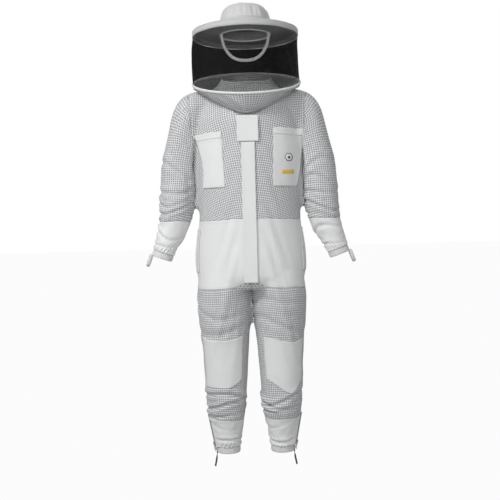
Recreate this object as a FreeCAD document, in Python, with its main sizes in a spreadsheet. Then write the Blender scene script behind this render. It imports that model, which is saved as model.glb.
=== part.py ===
"""Beekeeping suit: a ventilated coverall with a zip-on round veil hat, posed as it is worn.

Millimetres, +Z up, the front faces -Y and the wearer's left side is +X.
The origin is between the shoulders, at the foot of the neck, and levels are measured from there.
The fabric is one hollow shell of lofted limbs, cut along its seams into the panels that are sewn together.
"""
import FreeCAD, Part
import os
from math import cos, radians, sin

from FreeCAD import Placement, Rotation, Vector

doc = FreeCAD.newDocument("beekeeping_suit")
sheet = doc.addObject("Spreadsheet::Sheet", "Sizes")
kept = []


# ---------------------------------------------------------------- the sheet of sizes

def put(alias, value):
    """Adds one driving dimension to the sheet."""
    put.row += 1
    sheet.set(f"A{put.row}", alias)
    sheet.set(f"B{put.row}", str(value))
    sheet.setAlias(f"B{put.row}", alias)


put.row = 0

SIZES = {
    # cloth
    "cloth_thick": 4.0, "patch_thick": 3.0, "patch_gap": 0.5, "body_gap": 1.4, "piece_gap": 0.3,
    # seams, as levels
    "waist_level": -510.0, "hip_hem_level": -768.0, "shin_seam_level": -1263.0, "ankle_cuff_level": -1375.0,
    "hem_level": -1400.0, "forearm_seam_level": -498.0, "collar_level": 0.0, "side_seam_y": 0.0,
    "collar_half_wide": 118.0, "yoke_top_level": 60.0,
    "front_half_gap": 7.0, "armhole_top_x": 228.0, "armhole_top_level": 60.0, "armhole_foot_x": 205.0,
    "armhole_foot_level": -258.0, "elbow_x": 226.0, "elbow_level": -520.0, "armpit_level": -400.0,
    "collar_front_level": 8.0, "collar_tilt": 20.0,
    # cuffs
    "wrist_x": 331.5, "wrist_y": -27.0, "wrist_level": -621.0, "forearm_lean": 20.0, "wrist_cuff_long": 24.0,
    "wrist_cuff_outer": 40.5, "wrist_bore": 36.5, "ankle_x": 105.0, "ankle_cuff_outer": 46.0, "ankle_bore": 42.5,
    # thumb loops
    "loop_long": 46.0, "loop_half_wide": 18.0, "loop_strap_wide": 10.0, "loop_strap_thick": 1.8,
    "loop_lean": 70.0, "loop_root": 41.8, "loop_gap": 0.6,
    # main zip, storm flap and throat tab
    "front_y": -145.0, "zip_top_level": -128.0, "zip_foot_level": -690.0, "tape_reach": 18.0,
    "tape_thick": 1.0, "coil_near": 0.9, "coil_far": 3.2, "coil_thick": 2.6, "tape_y": -138.6,
    "slider_wide": 11.0, "slider_long": 15.0, "slider_plate": 1.5, "slider_web": 1.2, "slider_top_level": -133.0,
    "pull_wide": 6.0, "pull_long": 27.0, "pull_thick": 1.4,
    "flap_wide": 51.0, "flap_left_x": -26.0, "flap_thick": 2.5, "flap_back_y": -147.6,
    "flap_top_level": -221.0, "flap_foot_level": -738.0,
    "tab_half_wide": 39.5, "tab_top_level": -124.0, "tab_foot_level": -219.0,
    "margin_wide": 12.0, "margin_thick": 1.9,
    # pockets and knee patches
    "pocket_inner_x": 92.0, "pocket_outer_x": 188.0, "pocket_top_level": -180.0, "pocket_foot_level": -386.0,
    "pocket_proud": 6.1, "pocket_room": 3.6, "pocket_wall": 3.0,
    "badge_radius": 14.0, "badge_thick": 1.2, "badge_x": 156.8, "badge_y": -103.9, "badge_level": -286.0,
    "badge_turn": 38.5,
    "hip_pocket_front_y": -118.0, "hip_pocket_back_y": 40.0, "hip_pocket_inner_x": 120.0,
    "hip_pocket_top_level": -536.0, "hip_pocket_foot_level": -700.0,
    "knee_half_wide": 71.0, "knee_top_level": -955.0, "knee_foot_level": -1148.0, "knee_x": 106.0,
    # waist elastic
    "elastic_high": 38.0, "elastic_thick": 3.0,
    # ankle zips and straps
    "ankle_zip_top_level": -1250.0, "ankle_zip_foot_level": -1392.0, "ankle_tape_wide": 22.0,
    "ankle_zip_foot_x": 153.0, "ankle_zip_lean": 10.8, "ankle_zip_y": -8.0,
    "ankle_slider_rise": 20.0, "small_slider_gap": 2.8, "small_slider_wide": 9.0, "small_slider_long": 12.0,
    "small_slider_thick": 3.2,
    "strap_wide": 15.0, "strap_long": 64.0, "strap_near": 46.4, "strap_far": 48.4, "strap_turn": 20.0,
    "strap_top_level": -1400.8, "strap_patch_level": -1378.0,
    # hat
    "hat_y": -10.0, "crown_base_radius": 96.5, "crown_shoulder_radius": 80.0, "crown_top_radius": 62.0,
    "crown_base_level": 243.0, "crown_shoulder_level": 302.0, "crown_top_level": 325.0, "crown_thick": 2.5,
    "brim_level": 205.0, "brim_edge_radius": 194.5, "head_radius": 94.0,
    "head_level": 197.0, "rim_thick": 5.4, "rim_top_level": 211.5, "rim_foot_level": 188.5,
    "wire_radius": 198.3, "wire_level": 208.0, "brim_wire_minor": 1.4, "brim_wire_room": 1.7,
    "sweatband_high": 32.0, "sweatband_thick": 2.2, "sweatband_foot_level": 200.0,
    # veil, hoop and skirt
    "veil_thick": 1.2, "hoop_radius": 203.0, "hoop_level": 17.0, "hoop_tilt": 20.0, "binding_minor": 4.6,
    "hoop_wire_minor": 1.6, "hoop_wire_room": 1.9,
    "neck_half_wide": 92.0, "neck_half_deep": 141.3, "neck_y": -14.5, "neck_level": -55.0, "neck_tilt": 26.5,
    "skirt_thick": 3.6, "hood_zip_wide": 9.0, "hood_zip_thick": 2.0, "neck_zip_wide": 10.0, "neck_zip_thick": 1.8,
    # chin strap and hang loop
    "chin_half_wide": 83.6, "chin_top_level": 210.0, "chin_foot_level": 103.0, "chin_low_half": 52.0, "chin_strap_wide": 10.0, "chin_strap_thick": 1.6, "chin_y": -38.0,
    "hang_half_wide": 36.0, "hang_proud": 11.0, "hang_wide": 9.0, "hang_thick": 1.8, "hang_level": -38.0, "hang_y": 115.4,
}

# level, half width, half depth, centre y, from the crotch up to above the collar
TORSO = [
    (-765, 165, 98, -20), (-728, 200, 124, -16), (-690, 212, 136, -9), (-620, 212, 140, -5),
    (-510, 197, 130, -15), (-380, 195, 132, -13), (-250, 202, 137, -8), (-150, 204, 137, -8),
    (-128, 202, 136, -9), (-100, 195, 127, -8), (-55, 178, 114, -1), (-8, 132, 98, 5), (28, 98, 88, 1), (80, 88, 86, -2),
    (100, 87, 85, -2),
]
# level, centre x, centre y, half width, half depth, from inside the hips down past the hem
LEG = [
    (-700, 104, -8, 96, 116), (-765, 107, -8, 103, 121), (-860, 107, -8, 102, 116), (-975, 105, -8, 92, 102),
    (-1060, 106, -7, 87, 95), (-1150, 108, -5, 81, 90), (-1230, 107, -3, 73, 80), (-1300, 106, 0, 61.5, 67),
    (-1345, 105, 0, 52.5, 57), (-1375, 105, 0, 47, 49), (-1400, 105, 0, 46, 47.5), (-1416, 105, 0, 46, 47.5),
]
# centre x, centre y, level, lean, half width across the lean, half depth, from inside the chest to past the cuff
SLEEVE = [
    (140, 0, -69, 90, 56, 64), (204, 0, -86, 60, 71, 81), (243, 0, -165, 22, 62, 82), (270, 0, -270, 5, 61, 74),
    (276, -3, -390, 2, 66, 72), (281, -8, -458, 10, 64, 69), (294, -15, -518, 20, 56, 61),
    (314, -23, -574, 20, 48, 51), (328, -27, -611, 20, 42.5, 44.5), (336, -27, -634, 20, 41, 42),
    (347, -27, -664, 20, 41, 42),
]

# x, y, level of three points on the left slider's path along the hood zip
HOOD_PATH = [(14.9, -150.7, -117.5), (59.7, -139.1, -102.3), (107.6, -113.4, -75.1)]

for name, value in SIZES.items():
    put(name, value)
for i, (level, wide, deep, y) in enumerate(TORSO):
    for word, value in (("level", level), ("wide", wide), ("deep", deep), ("mid", y)):
        put(f"torso_{word}_{chr(97 + i)}", value)
for i, (level, x, y, wide, deep) in enumerate(LEG):
    for word, value in (("level", level), ("x", x), ("y", y), ("wide", wide), ("deep", deep)):
        put(f"leg_{word}_{chr(97 + i)}", value)
for i, (x, y, level, lean, wide, deep) in enumerate(SLEEVE):
    for word, value in (("x", x), ("y", y), ("level", level), ("wide", wide), ("deep", deep)):
        put(f"sleeve_{word}_{chr(97 + i)}", value)
for i, (x, y, level) in enumerate(HOOD_PATH):
    for word, value in (("x", x), ("y", y), ("level", level)):
        put(f"hood_path_{word}_{chr(97 + i)}", value)
doc.recompute()


def val(alias):
    """One cell of the sheet, as a number."""
    return float(sheet.get(alias))


# ---------------------------------------------------------------- helpers for the document

def named(word):
    """Every alias in an expression, with the sheet's name put before it."""
    out = word
    for alias in sorted(ALIASES, key=len, reverse=True):
        out = out.replace("@" + alias, "Sizes." + alias)
    return out


ALIASES = [sheet.get(f"A{i}") for i in range(1, put.row + 1)]


def bind(obj, **expressions):
    """Binds properties to cells: a double underscore stands for a dot, and @ stands for the sheet."""
    for prop, text in expressions.items():
        obj.setExpression(prop.replace("__", "."), named(text))
    return obj


def keep(obj, label):
    """Marks an object as one of the suit's own pieces, and gives it its name."""
    obj.Label = label
    kept.append(obj)
    return obj


def ellipse(name, wide, deep, x, y, z, turn=None, deep_is_long=False):
    """An ellipse across X and Y whose plane is then turned, bound to the sheet."""
    e = doc.addObject("Part::Ellipse", name)
    spin = Rotation(Vector(0, 0, 1), 90) if deep_is_long else Rotation()
    e.Placement = Placement(Vector(), (turn or Rotation()).multiply(spin))
    long, short = (deep, wide) if deep_is_long else (wide, deep)
    e.MajorRadius, e.MinorRadius = 1000, 1
    return bind(e, MajorRadius=long, MinorRadius=short, Placement__Base__x=x, Placement__Base__y=y,
                Placement__Base__z=z)


def loft(name, sections, ruled=False):
    made = doc.addObject("Part::Loft", name)
    made.Sections, made.Solid, made.Ruled = sections, True, ruled
    return made


def box(name, x0, x1, y0, y1, z0, z1):
    """A box between corners that are expressions."""
    b = doc.addObject("Part::Box", name)
    return bind(b, Length=f"{x1} - ({x0})", Width=f"{y1} - ({y0})", Height=f"{z1} - ({z0})",
                Placement__Base__x=x0, Placement__Base__y=y0, Placement__Base__z=z0)


def cut(name, base, tool):
    made = doc.addObject("Part::Cut", name)
    made.Base, made.Tool = base, tool
    return made


def common(name, base, tool):
    made = doc.addObject("Part::Common", name)
    made.Base, made.Tool = base, tool
    return made


def fuse(name, *shapes):
    made = doc.addObject("Part::MultiFuse", name)
    made.Shapes = list(shapes)
    return made


def mirror(name, source):
    """The same piece on the wearer's other side."""
    made = doc.addObject("Part::Mirroring", name)
    made.Source, made.Base, made.Normal = source, Vector(), Vector(1, 0, 0)
    return made


def both_sides(source, word):
    """Keeps a piece for the wearer's left, and its mirror image for the right."""
    keep(source, f"{word}_left")
    keep(mirror(f"{word}_mirrored", source), f"{word}_right")


def body(name, role, corners, depth, mid=True, place=None):
    """A PartDesign body: a closed outline of straight lines, each corner bound to the sheet, and a pad."""
    made = doc.addObject("PartDesign::Body", name)
    sketch = outline(made, name + "_outline", role, corners)
    pad = made.newObject("PartDesign::Pad", name + "_pad")
    pad.Profile, pad.Midplane = sketch, mid
    bind(pad, Length=depth)
    if place is not None:
        made.Placement = place
    return made


def outline(owner, name, role, corners):
    """A sketch on one of the body's own origin planes, with each corner held by two bound distances."""
    plane = next(f for f in owner.Origin.OriginFeatures if f.Role == role)
    sketch = owner.newObject("Sketcher::SketchObject", name)
    sketch.AttachmentSupport, sketch.MapMode = (plane, [""]), "FlatFace"
    rough = [(10.0 * i, 7.0 * (i % 3) + i) for i in range(len(corners))]
    count = len(corners)
    for i in range(count):
        a, b = rough[i], rough[(i + 1) % count]
        sketch.addGeometry(Part.LineSegment(Vector(*a, 0), Vector(*b, 0)), False)
    import Sketcher  # the sketcher needs a document before it loads
    for i in range(count):
        sketch.addConstraint(Sketcher.Constraint("Coincident", i, 2, (i + 1) % count, 1))
    for i, (across, up) in enumerate(corners):
        for kind, text in (("DistanceX", across), ("DistanceY", up)):
            at = sketch.addConstraint(Sketcher.Constraint(kind, -1, 1, i, 1, 1.0))
            sketch.setExpression(f"Constraints[{at}]", named(text))
    return sketch


# ---------------------------------------------------------------- the cloth shell

def torso(name, grow):
    rows = [ellipse(f"{name}_{c}", f"@torso_wide_{c} + ({grow})", f"@torso_deep_{c} + ({grow})", "0",
                    f"@torso_mid_{c}", f"@torso_level_{c}" + (f" - ({grow})" if i == 0 else ""))
            for i, c in enumerate("abcdefghijklmno")]
    return loft(name, rows)


def leg(name, grow):
    rows = [ellipse(f"{name}_{c}", f"@leg_wide_{c} + ({grow})", f"@leg_deep_{c} + ({grow})", f"@leg_x_{c}",
                    f"@leg_y_{c}", f"@leg_level_{c}" + (f" + ({grow})" if i == 0 else ""), deep_is_long=True)
            for i, c in enumerate("abcdefghijkl")]
    return loft(name, rows)


def sleeve(name, grow):
    rows = []
    for i, (_, _, _, lean, _, _) in enumerate(SLEEVE):
        c = chr(97 + i)
        turn = Rotation(Vector(0, 1, 0), -lean)
        rows.append(ellipse(f"{name}_{c}", f"@sleeve_wide_{c} + ({grow})", f"@sleeve_deep_{c} + ({grow})",
                            f"@sleeve_x_{c}" + (f" - ({grow})" if i == 0 else ""), f"@sleeve_y_{c}",
                            f"@sleeve_level_{c}", turn, deep_is_long=True))
    return loft(name, rows)


def figure(name, grow):
    """The whole suit's outside, as one solid, grown or shrunk by an amount."""
    trunk, limb, arm = torso(name + "_torso", grow), leg(name + "_leg", grow), sleeve(name + "_sleeve", grow)
    return fuse(name, trunk, limb, mirror(name + "_leg_r", limb), arm, mirror(name + "_sleeve_r", arm))


outside = figure("outside", "0")
inside = figure("inside", "-@cloth_thick")
shell = cut("shell", outside, inside)
FAR = "600"

armhole = body("armhole_cutter", "XZ_Plane", [
    ("@armhole_top_x", "@armhole_top_level"), ("@armhole_foot_x", "@armhole_foot_level"),
    ("@armhole_foot_x", "@armpit_level"), ("@elbow_x", "@elbow_level"), ("@elbow_x", "-900"), ("480", "-900"),
    ("480", "@armhole_top_level")], "600")
armholes = fuse("armholes", armhole, mirror("armhole_cutter_r", armhole))
trunk_shell = cut("trunk_shell", shell, armholes)
arm_shell = common("arm_shell", shell, armhole)


def panel(name, base, x0, x1, y0, y1, z0, z1):
    return common(name, base, box(name + "_box", x0, x1, y0, y1, z0, z1))


# collar: a stand around the neck whose top edge drops towards the throat
collar_space = box("collar_space", "-@collar_half_wide", "@collar_half_wide", "-" + FAR, FAR, "@collar_level", "200")
collar_top = doc.addObject("Part::Box", "collar_top")
bind(collar_top, Length="600", Width="600", Height="300")
tilt = Rotation(Vector(1, 0, 0), val("collar_tilt"))
collar_top.Placement = Placement(Vector(-300, val("front_y"), val("collar_front_level") - 20), tilt)
keep(cut("collar", common("collar_ring", trunk_shell, collar_space), collar_top), "collar")

# torso: two fronts, a back, and the placket that closes the throat above the zip
yoke_shell = cut("yoke_shell", trunk_shell, collar_space)
both_sides(panel("chest", yoke_shell, "@front_half_gap", "300", "-" + FAR, "@side_seam_y",
                 "@waist_level", "@yoke_top_level"), "chest_panel")
keep(panel("back", yoke_shell, "-300", "300", "@side_seam_y", FAR, "@waist_level", "@yoke_top_level"), "back_panel")
keep(panel("placket", yoke_shell, "-@front_half_gap", "@front_half_gap", "-" + FAR, "@side_seam_y",
           "@zip_top_level + 4", "@collar_level"), "neck_placket")

# hips: two fronts, which carry the side pockets, and a seat
hip_space = fuse(
    "hip_space",
    box("hip_beside", "@front_half_gap", "300", "-" + FAR, "@side_seam_y", "@hip_hem_level", "@waist_level"),
    box("hip_crotch", "0", "@front_half_gap", "-" + FAR, "@side_seam_y", "@hip_hem_level", "@zip_foot_level - 4"))
both_sides(common("hip", trunk_shell, hip_space), "hip_panel")
keep(panel("seat", trunk_shell, "-300", "300", "@side_seam_y", FAR, "@hip_hem_level", "@waist_level"), "seat_panel")

# legs: a front and a back each, then a plain shin tube above the ankle cuff
both_sides(panel("leg_front", trunk_shell, "0", "300", "-" + FAR, "@side_seam_y", "@shin_seam_level",
                 "@hip_hem_level"), "leg_front")
both_sides(panel("leg_back", trunk_shell, "0", "300", "@side_seam_y", FAR, "@shin_seam_level",
                 "@hip_hem_level"), "leg_back")
both_sides(panel("shin", trunk_shell, "0", "300", "-" + FAR, FAR, "@ankle_cuff_level + @piece_gap",
                 "@shin_seam_level"), "shin_panel")

# sleeves: mesh down to below the elbow, then a plain forearm
both_sides(panel("sleeve", arm_shell, "0", "480", "-" + FAR, FAR, "@forearm_seam_level", "100"), "sleeve")
wrist_lean = Rotation(Vector(0, 1, 0), -val("forearm_lean"))
wrist_cutter = doc.addObject("Part::Box", "wrist_cutter")
bind(wrist_cutter, Length="300", Width="300", Height="300")
wrist_cutter.Placement = Placement(
    Vector(val("wrist_x"), val("wrist_y"), val("wrist_level")) + wrist_lean.multVec(Vector(-150, -150, -299.7)),
    wrist_lean)
both_sides(cut("forearm", panel("forearm_tube", arm_shell, "0", "480", "-" + FAR, FAR, "-750",
                                "@forearm_seam_level"), wrist_cutter), "forearm_panel")


# ---------------------------------------------------------------- cuffs, loops and straps

def ring(name, outer, bore, long, place):
    """A plain band: one cylinder bored by another."""
    solid, hole = doc.addObject("Part::Cylinder", name + "_out"), doc.addObject("Part::Cylinder", name + "_in")
    bind(solid, Radius=outer, Height=long)
    bind(hole, Radius=bore, Height=long)
    solid.Placement = hole.Placement = place
    return cut(name, solid, hole)


DOWN = Rotation(Vector(1, 0, 0), 180)
both_sides(ring("wrist_cuff", "@wrist_cuff_outer", "@wrist_bore", "@wrist_cuff_long",
                Placement(Vector(val("wrist_x"), val("wrist_y"), val("wrist_level")),
                          wrist_lean.multiply(DOWN))), "wrist_cuff")

# ankle cuff, with the webbing patch that holds the strap sewn on its outer side
strap_place = Placement(Vector(val("ankle_x"), 0, 0), Rotation(Vector(0, 0, 1), val("strap_turn")))


def webbing(name, top, foot):
    """A strip of webbing that stands on the cuff's outer side."""
    return body(name, "XZ_Plane", [
        ("@strap_near", top), ("@strap_far", top), ("@strap_far", foot), ("@strap_near", foot)], "@strap_wide",
        place=strap_place)


ankle_band = ring("ankle_cuff", "@ankle_cuff_outer", "@ankle_bore", "@ankle_cuff_level - (@hem_level)",
                  Placement(Vector(val("ankle_x"), 0, val("ankle_cuff_level")), DOWN))
strap_patch = webbing("strap_patch", "@strap_patch_level", "@strap_top_level + @piece_gap")
both_sides(fuse("ankle_cuff_sewn", ankle_band, strap_patch), "ankle_cuff")
both_sides(webbing("ankle_strap", "@strap_top_level", "@strap_top_level - @strap_long"), "ankle_strap")

# thumb loop: a narrow elastic strap that leaves the cuff's hem, goes round the thumb and comes back
loop_lean = Rotation(Vector(0, 1, 0), val("loop_lean"))
hem_point = Vector(val("wrist_x"), val("wrist_y"), val("wrist_level")) + wrist_lean.multVec(
    Vector(val("loop_root"), 0, -val("wrist_cuff_long") - val("loop_gap")))
W, T, L = "@loop_half_wide", "@loop_strap_thick", "@loop_long"
both_sides(body("thumb_loop", "XY_Plane", [
    ("0", f"-{W}"), (f"{L} - 12", f"-{W}"), (f"{L}", f"-{W} + 10"), (f"{L}", f"{W} - 10"), (f"{L} - 12", W),
    ("0", W), ("0", f"{W} - {T}"), (f"{L} - 12.8", f"{W} - {T}"), (f"{L} - {T}", f"{W} - 10.8"),
    (f"{L} - {T}", f"-{W} + 10.8"), (f"{L} - 12.8", f"-{W} + {T}"), ("0", f"-{W} + {T}")],
    "@loop_strap_wide", place=Placement(hem_point, loop_lean)), "thumb_loop")

# waist elastic: a band stitched inside the back of the waist
elastic_out = torso("elastic_out", "-@cloth_thick - @piece_gap")
elastic_in = torso("elastic_in", "-@cloth_thick - @piece_gap - @elastic_thick")
keep(panel("elastic", cut("elastic_layer", elastic_out, elastic_in), "-300", "300", "@side_seam_y + 4", FAR,
           "@waist_level - @elastic_high / 2", "@waist_level + @elastic_high / 2"), "waist_elastic")


# ---------------------------------------------------------------- pockets and knee patches

near = torso("torso_near", "@patch_gap")
roomy = torso("torso_room", "@pocket_room")
proud = torso("torso_proud", "@pocket_proud")


def pocket(name, x0, x1, y0, y1, foot, top):
    """A patch pocket: a wall that stands off the body, closed at its sides and foot and open at its mouth."""
    block = common(name + "_block", proud, box(name + "_all", x0, x1, y0, y1, foot, top))
    room = common(name + "_room", roomy, box(
        name + "_hollow", f"{x0} + @pocket_wall", f"{x1} - @pocket_wall", f"{y0} + @pocket_wall",
        f"{y1} - @pocket_wall", f"{foot} + @pocket_wall", f"{top} + 1"))
    return cut(name, cut(name + "_open", block, room), near)


both_sides(pocket("chest_pocket", "@pocket_inner_x", "@pocket_outer_x", "-200", "-6", "@pocket_foot_level",
                  "@pocket_top_level"), "chest_pocket")
both_sides(pocket("hip_pocket", "@hip_pocket_inner_x", "260", "@hip_pocket_front_y", "@hip_pocket_back_y",
                  "@hip_pocket_foot_level", "@hip_pocket_top_level"), "hip_pocket")

# a plain six-sided patch on the left chest pocket
hexagon = [(f"@badge_radius * {round(cos(radians(60 * i)), 4)}", f"@badge_radius * {round(sin(radians(60 * i)), 4)}")
           for i in range(6)]
keep(body("pocket_badge", "XZ_Plane", hexagon, "@badge_thick", place=Placement(
    Vector(val("badge_x"), val("badge_y"), val("badge_level")),
    Rotation(Vector(0, 0, 1), val("badge_turn")))), "pocket_badge")

knee_near = leg("knee_near", "@patch_gap")
knee_far = leg("knee_far", "@patch_gap + @patch_thick")
both_sides(panel("knee", cut("knee_layer", knee_far, knee_near), "@knee_x - @knee_half_wide",
                 "@knee_x + @knee_half_wide", "-" + FAR, "-14", "@knee_foot_level", "@knee_top_level"), "knee_patch")


# ---------------------------------------------------------------- main zip, storm flap and throat tab

# each zip half is a woven tape with the coil along its inner edge
COIL_BACK, COIL_FRONT = "@tape_y + 0.4", "@tape_y + 0.4 - @coil_thick"
zip_half = body("main_zip", "XY_Plane", [
    ("@coil_near", COIL_FRONT), ("@coil_far", COIL_FRONT), ("@coil_far", "@tape_y - @tape_thick / 2"),
    ("@tape_reach", "@tape_y - @tape_thick / 2"), ("@tape_reach", "@tape_y + @tape_thick / 2"),
    ("@coil_far", "@tape_y + @tape_thick / 2"), ("@coil_near", "@tape_y + @tape_thick / 2")],
    "@zip_top_level - (@zip_foot_level)", mid=False,
    place=Placement(Vector(0, 0, val("zip_foot_level")), Rotation()))
both_sides(zip_half, "main_zip")

# slider: a front and a back plate joined by the web that runs between the two coils
PLATE_FRONT, PLATE_IN = f"{COIL_FRONT} - 0.3 - @slider_plate", f"{COIL_FRONT} - 0.3"
BACK_IN, BACK_OUT = "@tape_y + @tape_thick / 2 + 0.3", "@tape_y + @tape_thick / 2 + 0.3 + @slider_plate"
HALF, WEB = "@slider_wide / 2", "@slider_web / 2"
main_slider = body("main_slider", "XY_Plane", [
    (f"-{HALF}", PLATE_FRONT), (HALF, PLATE_FRONT), (HALF, PLATE_IN), (WEB, PLATE_IN), (WEB, BACK_IN),
    (HALF, BACK_IN), (HALF, BACK_OUT), (f"-{HALF}", BACK_OUT), (f"-{HALF}", BACK_IN), (f"-{WEB}", BACK_IN),
    (f"-{WEB}", PLATE_IN), (f"-{HALF}", PLATE_IN)],
    "@slider_long", mid=False,
    place=Placement(Vector(0, 0, val("slider_top_level") - val("slider_long")), Rotation()))
keep(main_slider, "main_zip_slider")

pull_y = val("tape_y") + 0.4 - val("coil_thick") - 0.3 - val("slider_plate") - 1.1
keep(body("main_pull", "XZ_Plane", [
    ("-@pull_wide / 2", "@slider_top_level - 7"), ("@pull_wide / 2", "@slider_top_level - 7"),
    ("@pull_wide / 2 + 1", "@slider_top_level - 7 - @pull_long"),
    ("-@pull_wide / 2 - 1", "@slider_top_level - 7 - @pull_long")], "@pull_thick",
    place=Placement(Vector(0, pull_y, 0), Rotation())), "main_zip_pull")

flap_mid_y = val("flap_back_y") - val("flap_thick") / 2
keep(body("storm_flap", "XZ_Plane", [
    ("@flap_left_x", "@flap_top_level"), ("@flap_left_x + @flap_wide", "@flap_top_level"),
    ("@flap_left_x + @flap_wide", "@flap_foot_level"), ("@flap_left_x", "@flap_foot_level")], "@flap_thick",
    place=Placement(Vector(0, flap_mid_y, 0), Rotation())), "storm_flap")
keep(body("flap_margin", "XY_Plane", [
    ("@flap_left_x", "@flap_back_y + @piece_gap"), ("@flap_left_x + @margin_wide", "@flap_back_y + @piece_gap"),
    ("@flap_left_x + @margin_wide", "@flap_back_y + @piece_gap + @margin_thick"),
    ("@flap_left_x", "@flap_back_y + @piece_gap + @margin_thick")],
    "@flap_top_level - (@flap_foot_level)", mid=False,
    place=Placement(Vector(0, 0, val("flap_foot_level")), Rotation())), "flap_margin")
keep(body("throat_tab", "XZ_Plane", [
    ("-@tab_half_wide", "@tab_top_level"), ("@tab_half_wide", "@tab_top_level"),
    ("@tab_half_wide", "@tab_foot_level"), ("-@tab_half_wide", "@tab_foot_level")], "@flap_thick",
    place=Placement(Vector(0, flap_mid_y, 0), Rotation())), "throat_tab")


# ---------------------------------------------------------------- ankle zips

ankle_lean = Rotation(Vector(0, 1, 0), val("ankle_zip_lean"))
ankle_foot = Vector(val("ankle_zip_foot_x"), val("ankle_zip_y"), val("ankle_zip_foot_level"))
ankle_place = Placement(ankle_foot, ankle_lean)
both_sides(body("ankle_zip", "XY_Plane", [
    ("0", "-@ankle_tape_wide / 2"), ("1", "-@ankle_tape_wide / 2"), ("1", "-2.6"), ("2.4", "-2.6"),
    ("2.4", "2.6"), ("1", "2.6"), ("1", "@ankle_tape_wide / 2"), ("0", "@ankle_tape_wide / 2")],
    "@ankle_zip_top_level - (@ankle_zip_foot_level)", mid=False, place=ankle_place), "ankle_zip")


def zip_slider(name, place, tail_from, tail_to):
    """A small slider with its pull: local X leaves the cloth and local Z runs along the zip."""
    block = body(name + "_block", "XY_Plane", [
        ("@small_slider_gap", "-@small_slider_wide / 2"),
        ("@small_slider_gap + @small_slider_thick", "-@small_slider_wide / 2"),
        ("@small_slider_gap + @small_slider_thick", "@small_slider_wide / 2"),
        ("@small_slider_gap", "@small_slider_wide / 2")], "@small_slider_long", mid=False, place=place)
    tail_place = Placement(place.Base + place.Rotation.multVec(Vector(0, 0, tail_from)), place.Rotation)
    near, far = "@small_slider_gap + 1.4", "@small_slider_gap + 2.8"
    tail = body(name + "_tail", "XY_Plane", [(near, "-3"), (far, "-3"), (far, "3"), (near, "3")],
                str(tail_to - tail_from), mid=False, place=tail_place)
    return fuse(name, block, tail)


ankle_slider_place = Placement(ankle_foot + ankle_lean.multVec(Vector(0, 0, val("ankle_slider_rise"))), ankle_lean)
both_sides(zip_slider("ankle_slider", ankle_slider_place, -25, 1), "ankle_zip_slider")

# ---------------------------------------------------------------- hat

def turned(name, corners, place):
    """A PartDesign body turned about its own Z from a closed outline in the XZ plane."""
    made = doc.addObject("PartDesign::Body", name)
    sketch = outline(made, name + "_outline", "XZ_Plane", corners)
    spin = made.newObject("PartDesign::Revolution", name + "_turn")
    spin.Profile, spin.ReferenceAxis, spin.Angle = sketch, (sketch, ["V_Axis"]), 360
    made.Placement = place
    return made


hat_place = Placement(Vector(0, val("hat_y"), 0), Rotation())
keep(turned("crown", [
    ("@crown_base_radius", "@crown_base_level"), ("@crown_shoulder_radius", "@crown_shoulder_level"),
    ("@crown_top_radius", "@crown_top_level"), ("0", "@crown_top_level"),
    ("0", "@crown_top_level - @crown_thick"), ("@crown_top_radius - 1.5", "@crown_top_level - @crown_thick"),
    ("@crown_shoulder_radius - @crown_thick", "@crown_shoulder_level - 1"),
    ("@crown_base_radius - @crown_thick", "@crown_base_level")], hat_place), "hat_crown")
keep(turned("brim", [
    ("@head_radius", "@crown_base_level - @piece_gap"), ("@crown_base_radius + 1", "@crown_base_level - @piece_gap"),
    ("@brim_edge_radius", "@brim_level + 4"), ("@brim_edge_radius", "@brim_level"),
    ("@head_radius", "@head_level")], hat_place), "hat_brim")
BAND_FAR = "@head_radius - @piece_gap"
BAND_NEAR = BAND_FAR + " - @sweatband_thick"
BAND_TOP = "@sweatband_foot_level + @sweatband_high"
keep(turned("sweatband", [
    (BAND_NEAR, "@sweatband_foot_level"), (BAND_FAR, "@sweatband_foot_level"), (BAND_FAR, BAND_TOP),
    (BAND_NEAR, BAND_TOP)], hat_place), "sweatband")


def torus(name, major, minor, place):
    made = doc.addObject("Part::Torus", name)
    made.Placement = place
    return bind(made, Radius1=major, Radius2=minor)


# the brim's edge is bound with a tall band, with a wire sewn in at its top
RIM_NEAR, RIM_FAR = "@wire_radius - @rim_thick / 2", "@wire_radius + @rim_thick / 2"
rim_band = turned("rim_band", [
    (RIM_NEAR, "@rim_foot_level"), (RIM_FAR, "@rim_foot_level"), (RIM_FAR, "@rim_top_level - 2"),
    ("@wire_radius + 1", "@rim_top_level"), ("@wire_radius - 1", "@rim_top_level"),
    (RIM_NEAR, "@rim_top_level - 2")], hat_place)
wire_place = Placement(Vector(0, val("hat_y"), val("wire_level")), Rotation())
keep(cut("rim", rim_band, torus("rim_bore", "@wire_radius", "@brim_wire_room", wire_place)), "brim_binding")
keep(torus("brim_wire", "@wire_radius", "@brim_wire_minor", wire_place), "brim_wire")

# ---------------------------------------------------------------- veil, hoop and skirt

hoop_turn = Rotation(Vector(1, 0, 0), val("hoop_tilt"))
neck_turn = Rotation(Vector(1, 0, 0), val("neck_tilt"))
hoop_place = Placement(Vector(0, val("hat_y"), val("hoop_level")), hoop_turn)
keep(cut("binding", torus("binding_out", "@hoop_radius", "@binding_minor", hoop_place),
         torus("binding_in", "@hoop_radius", "@hoop_wire_room", hoop_place)), "hoop_binding")
keep(torus("hoop_wire", "@hoop_radius", "@hoop_wire_minor", hoop_place), "hoop_wire")


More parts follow.
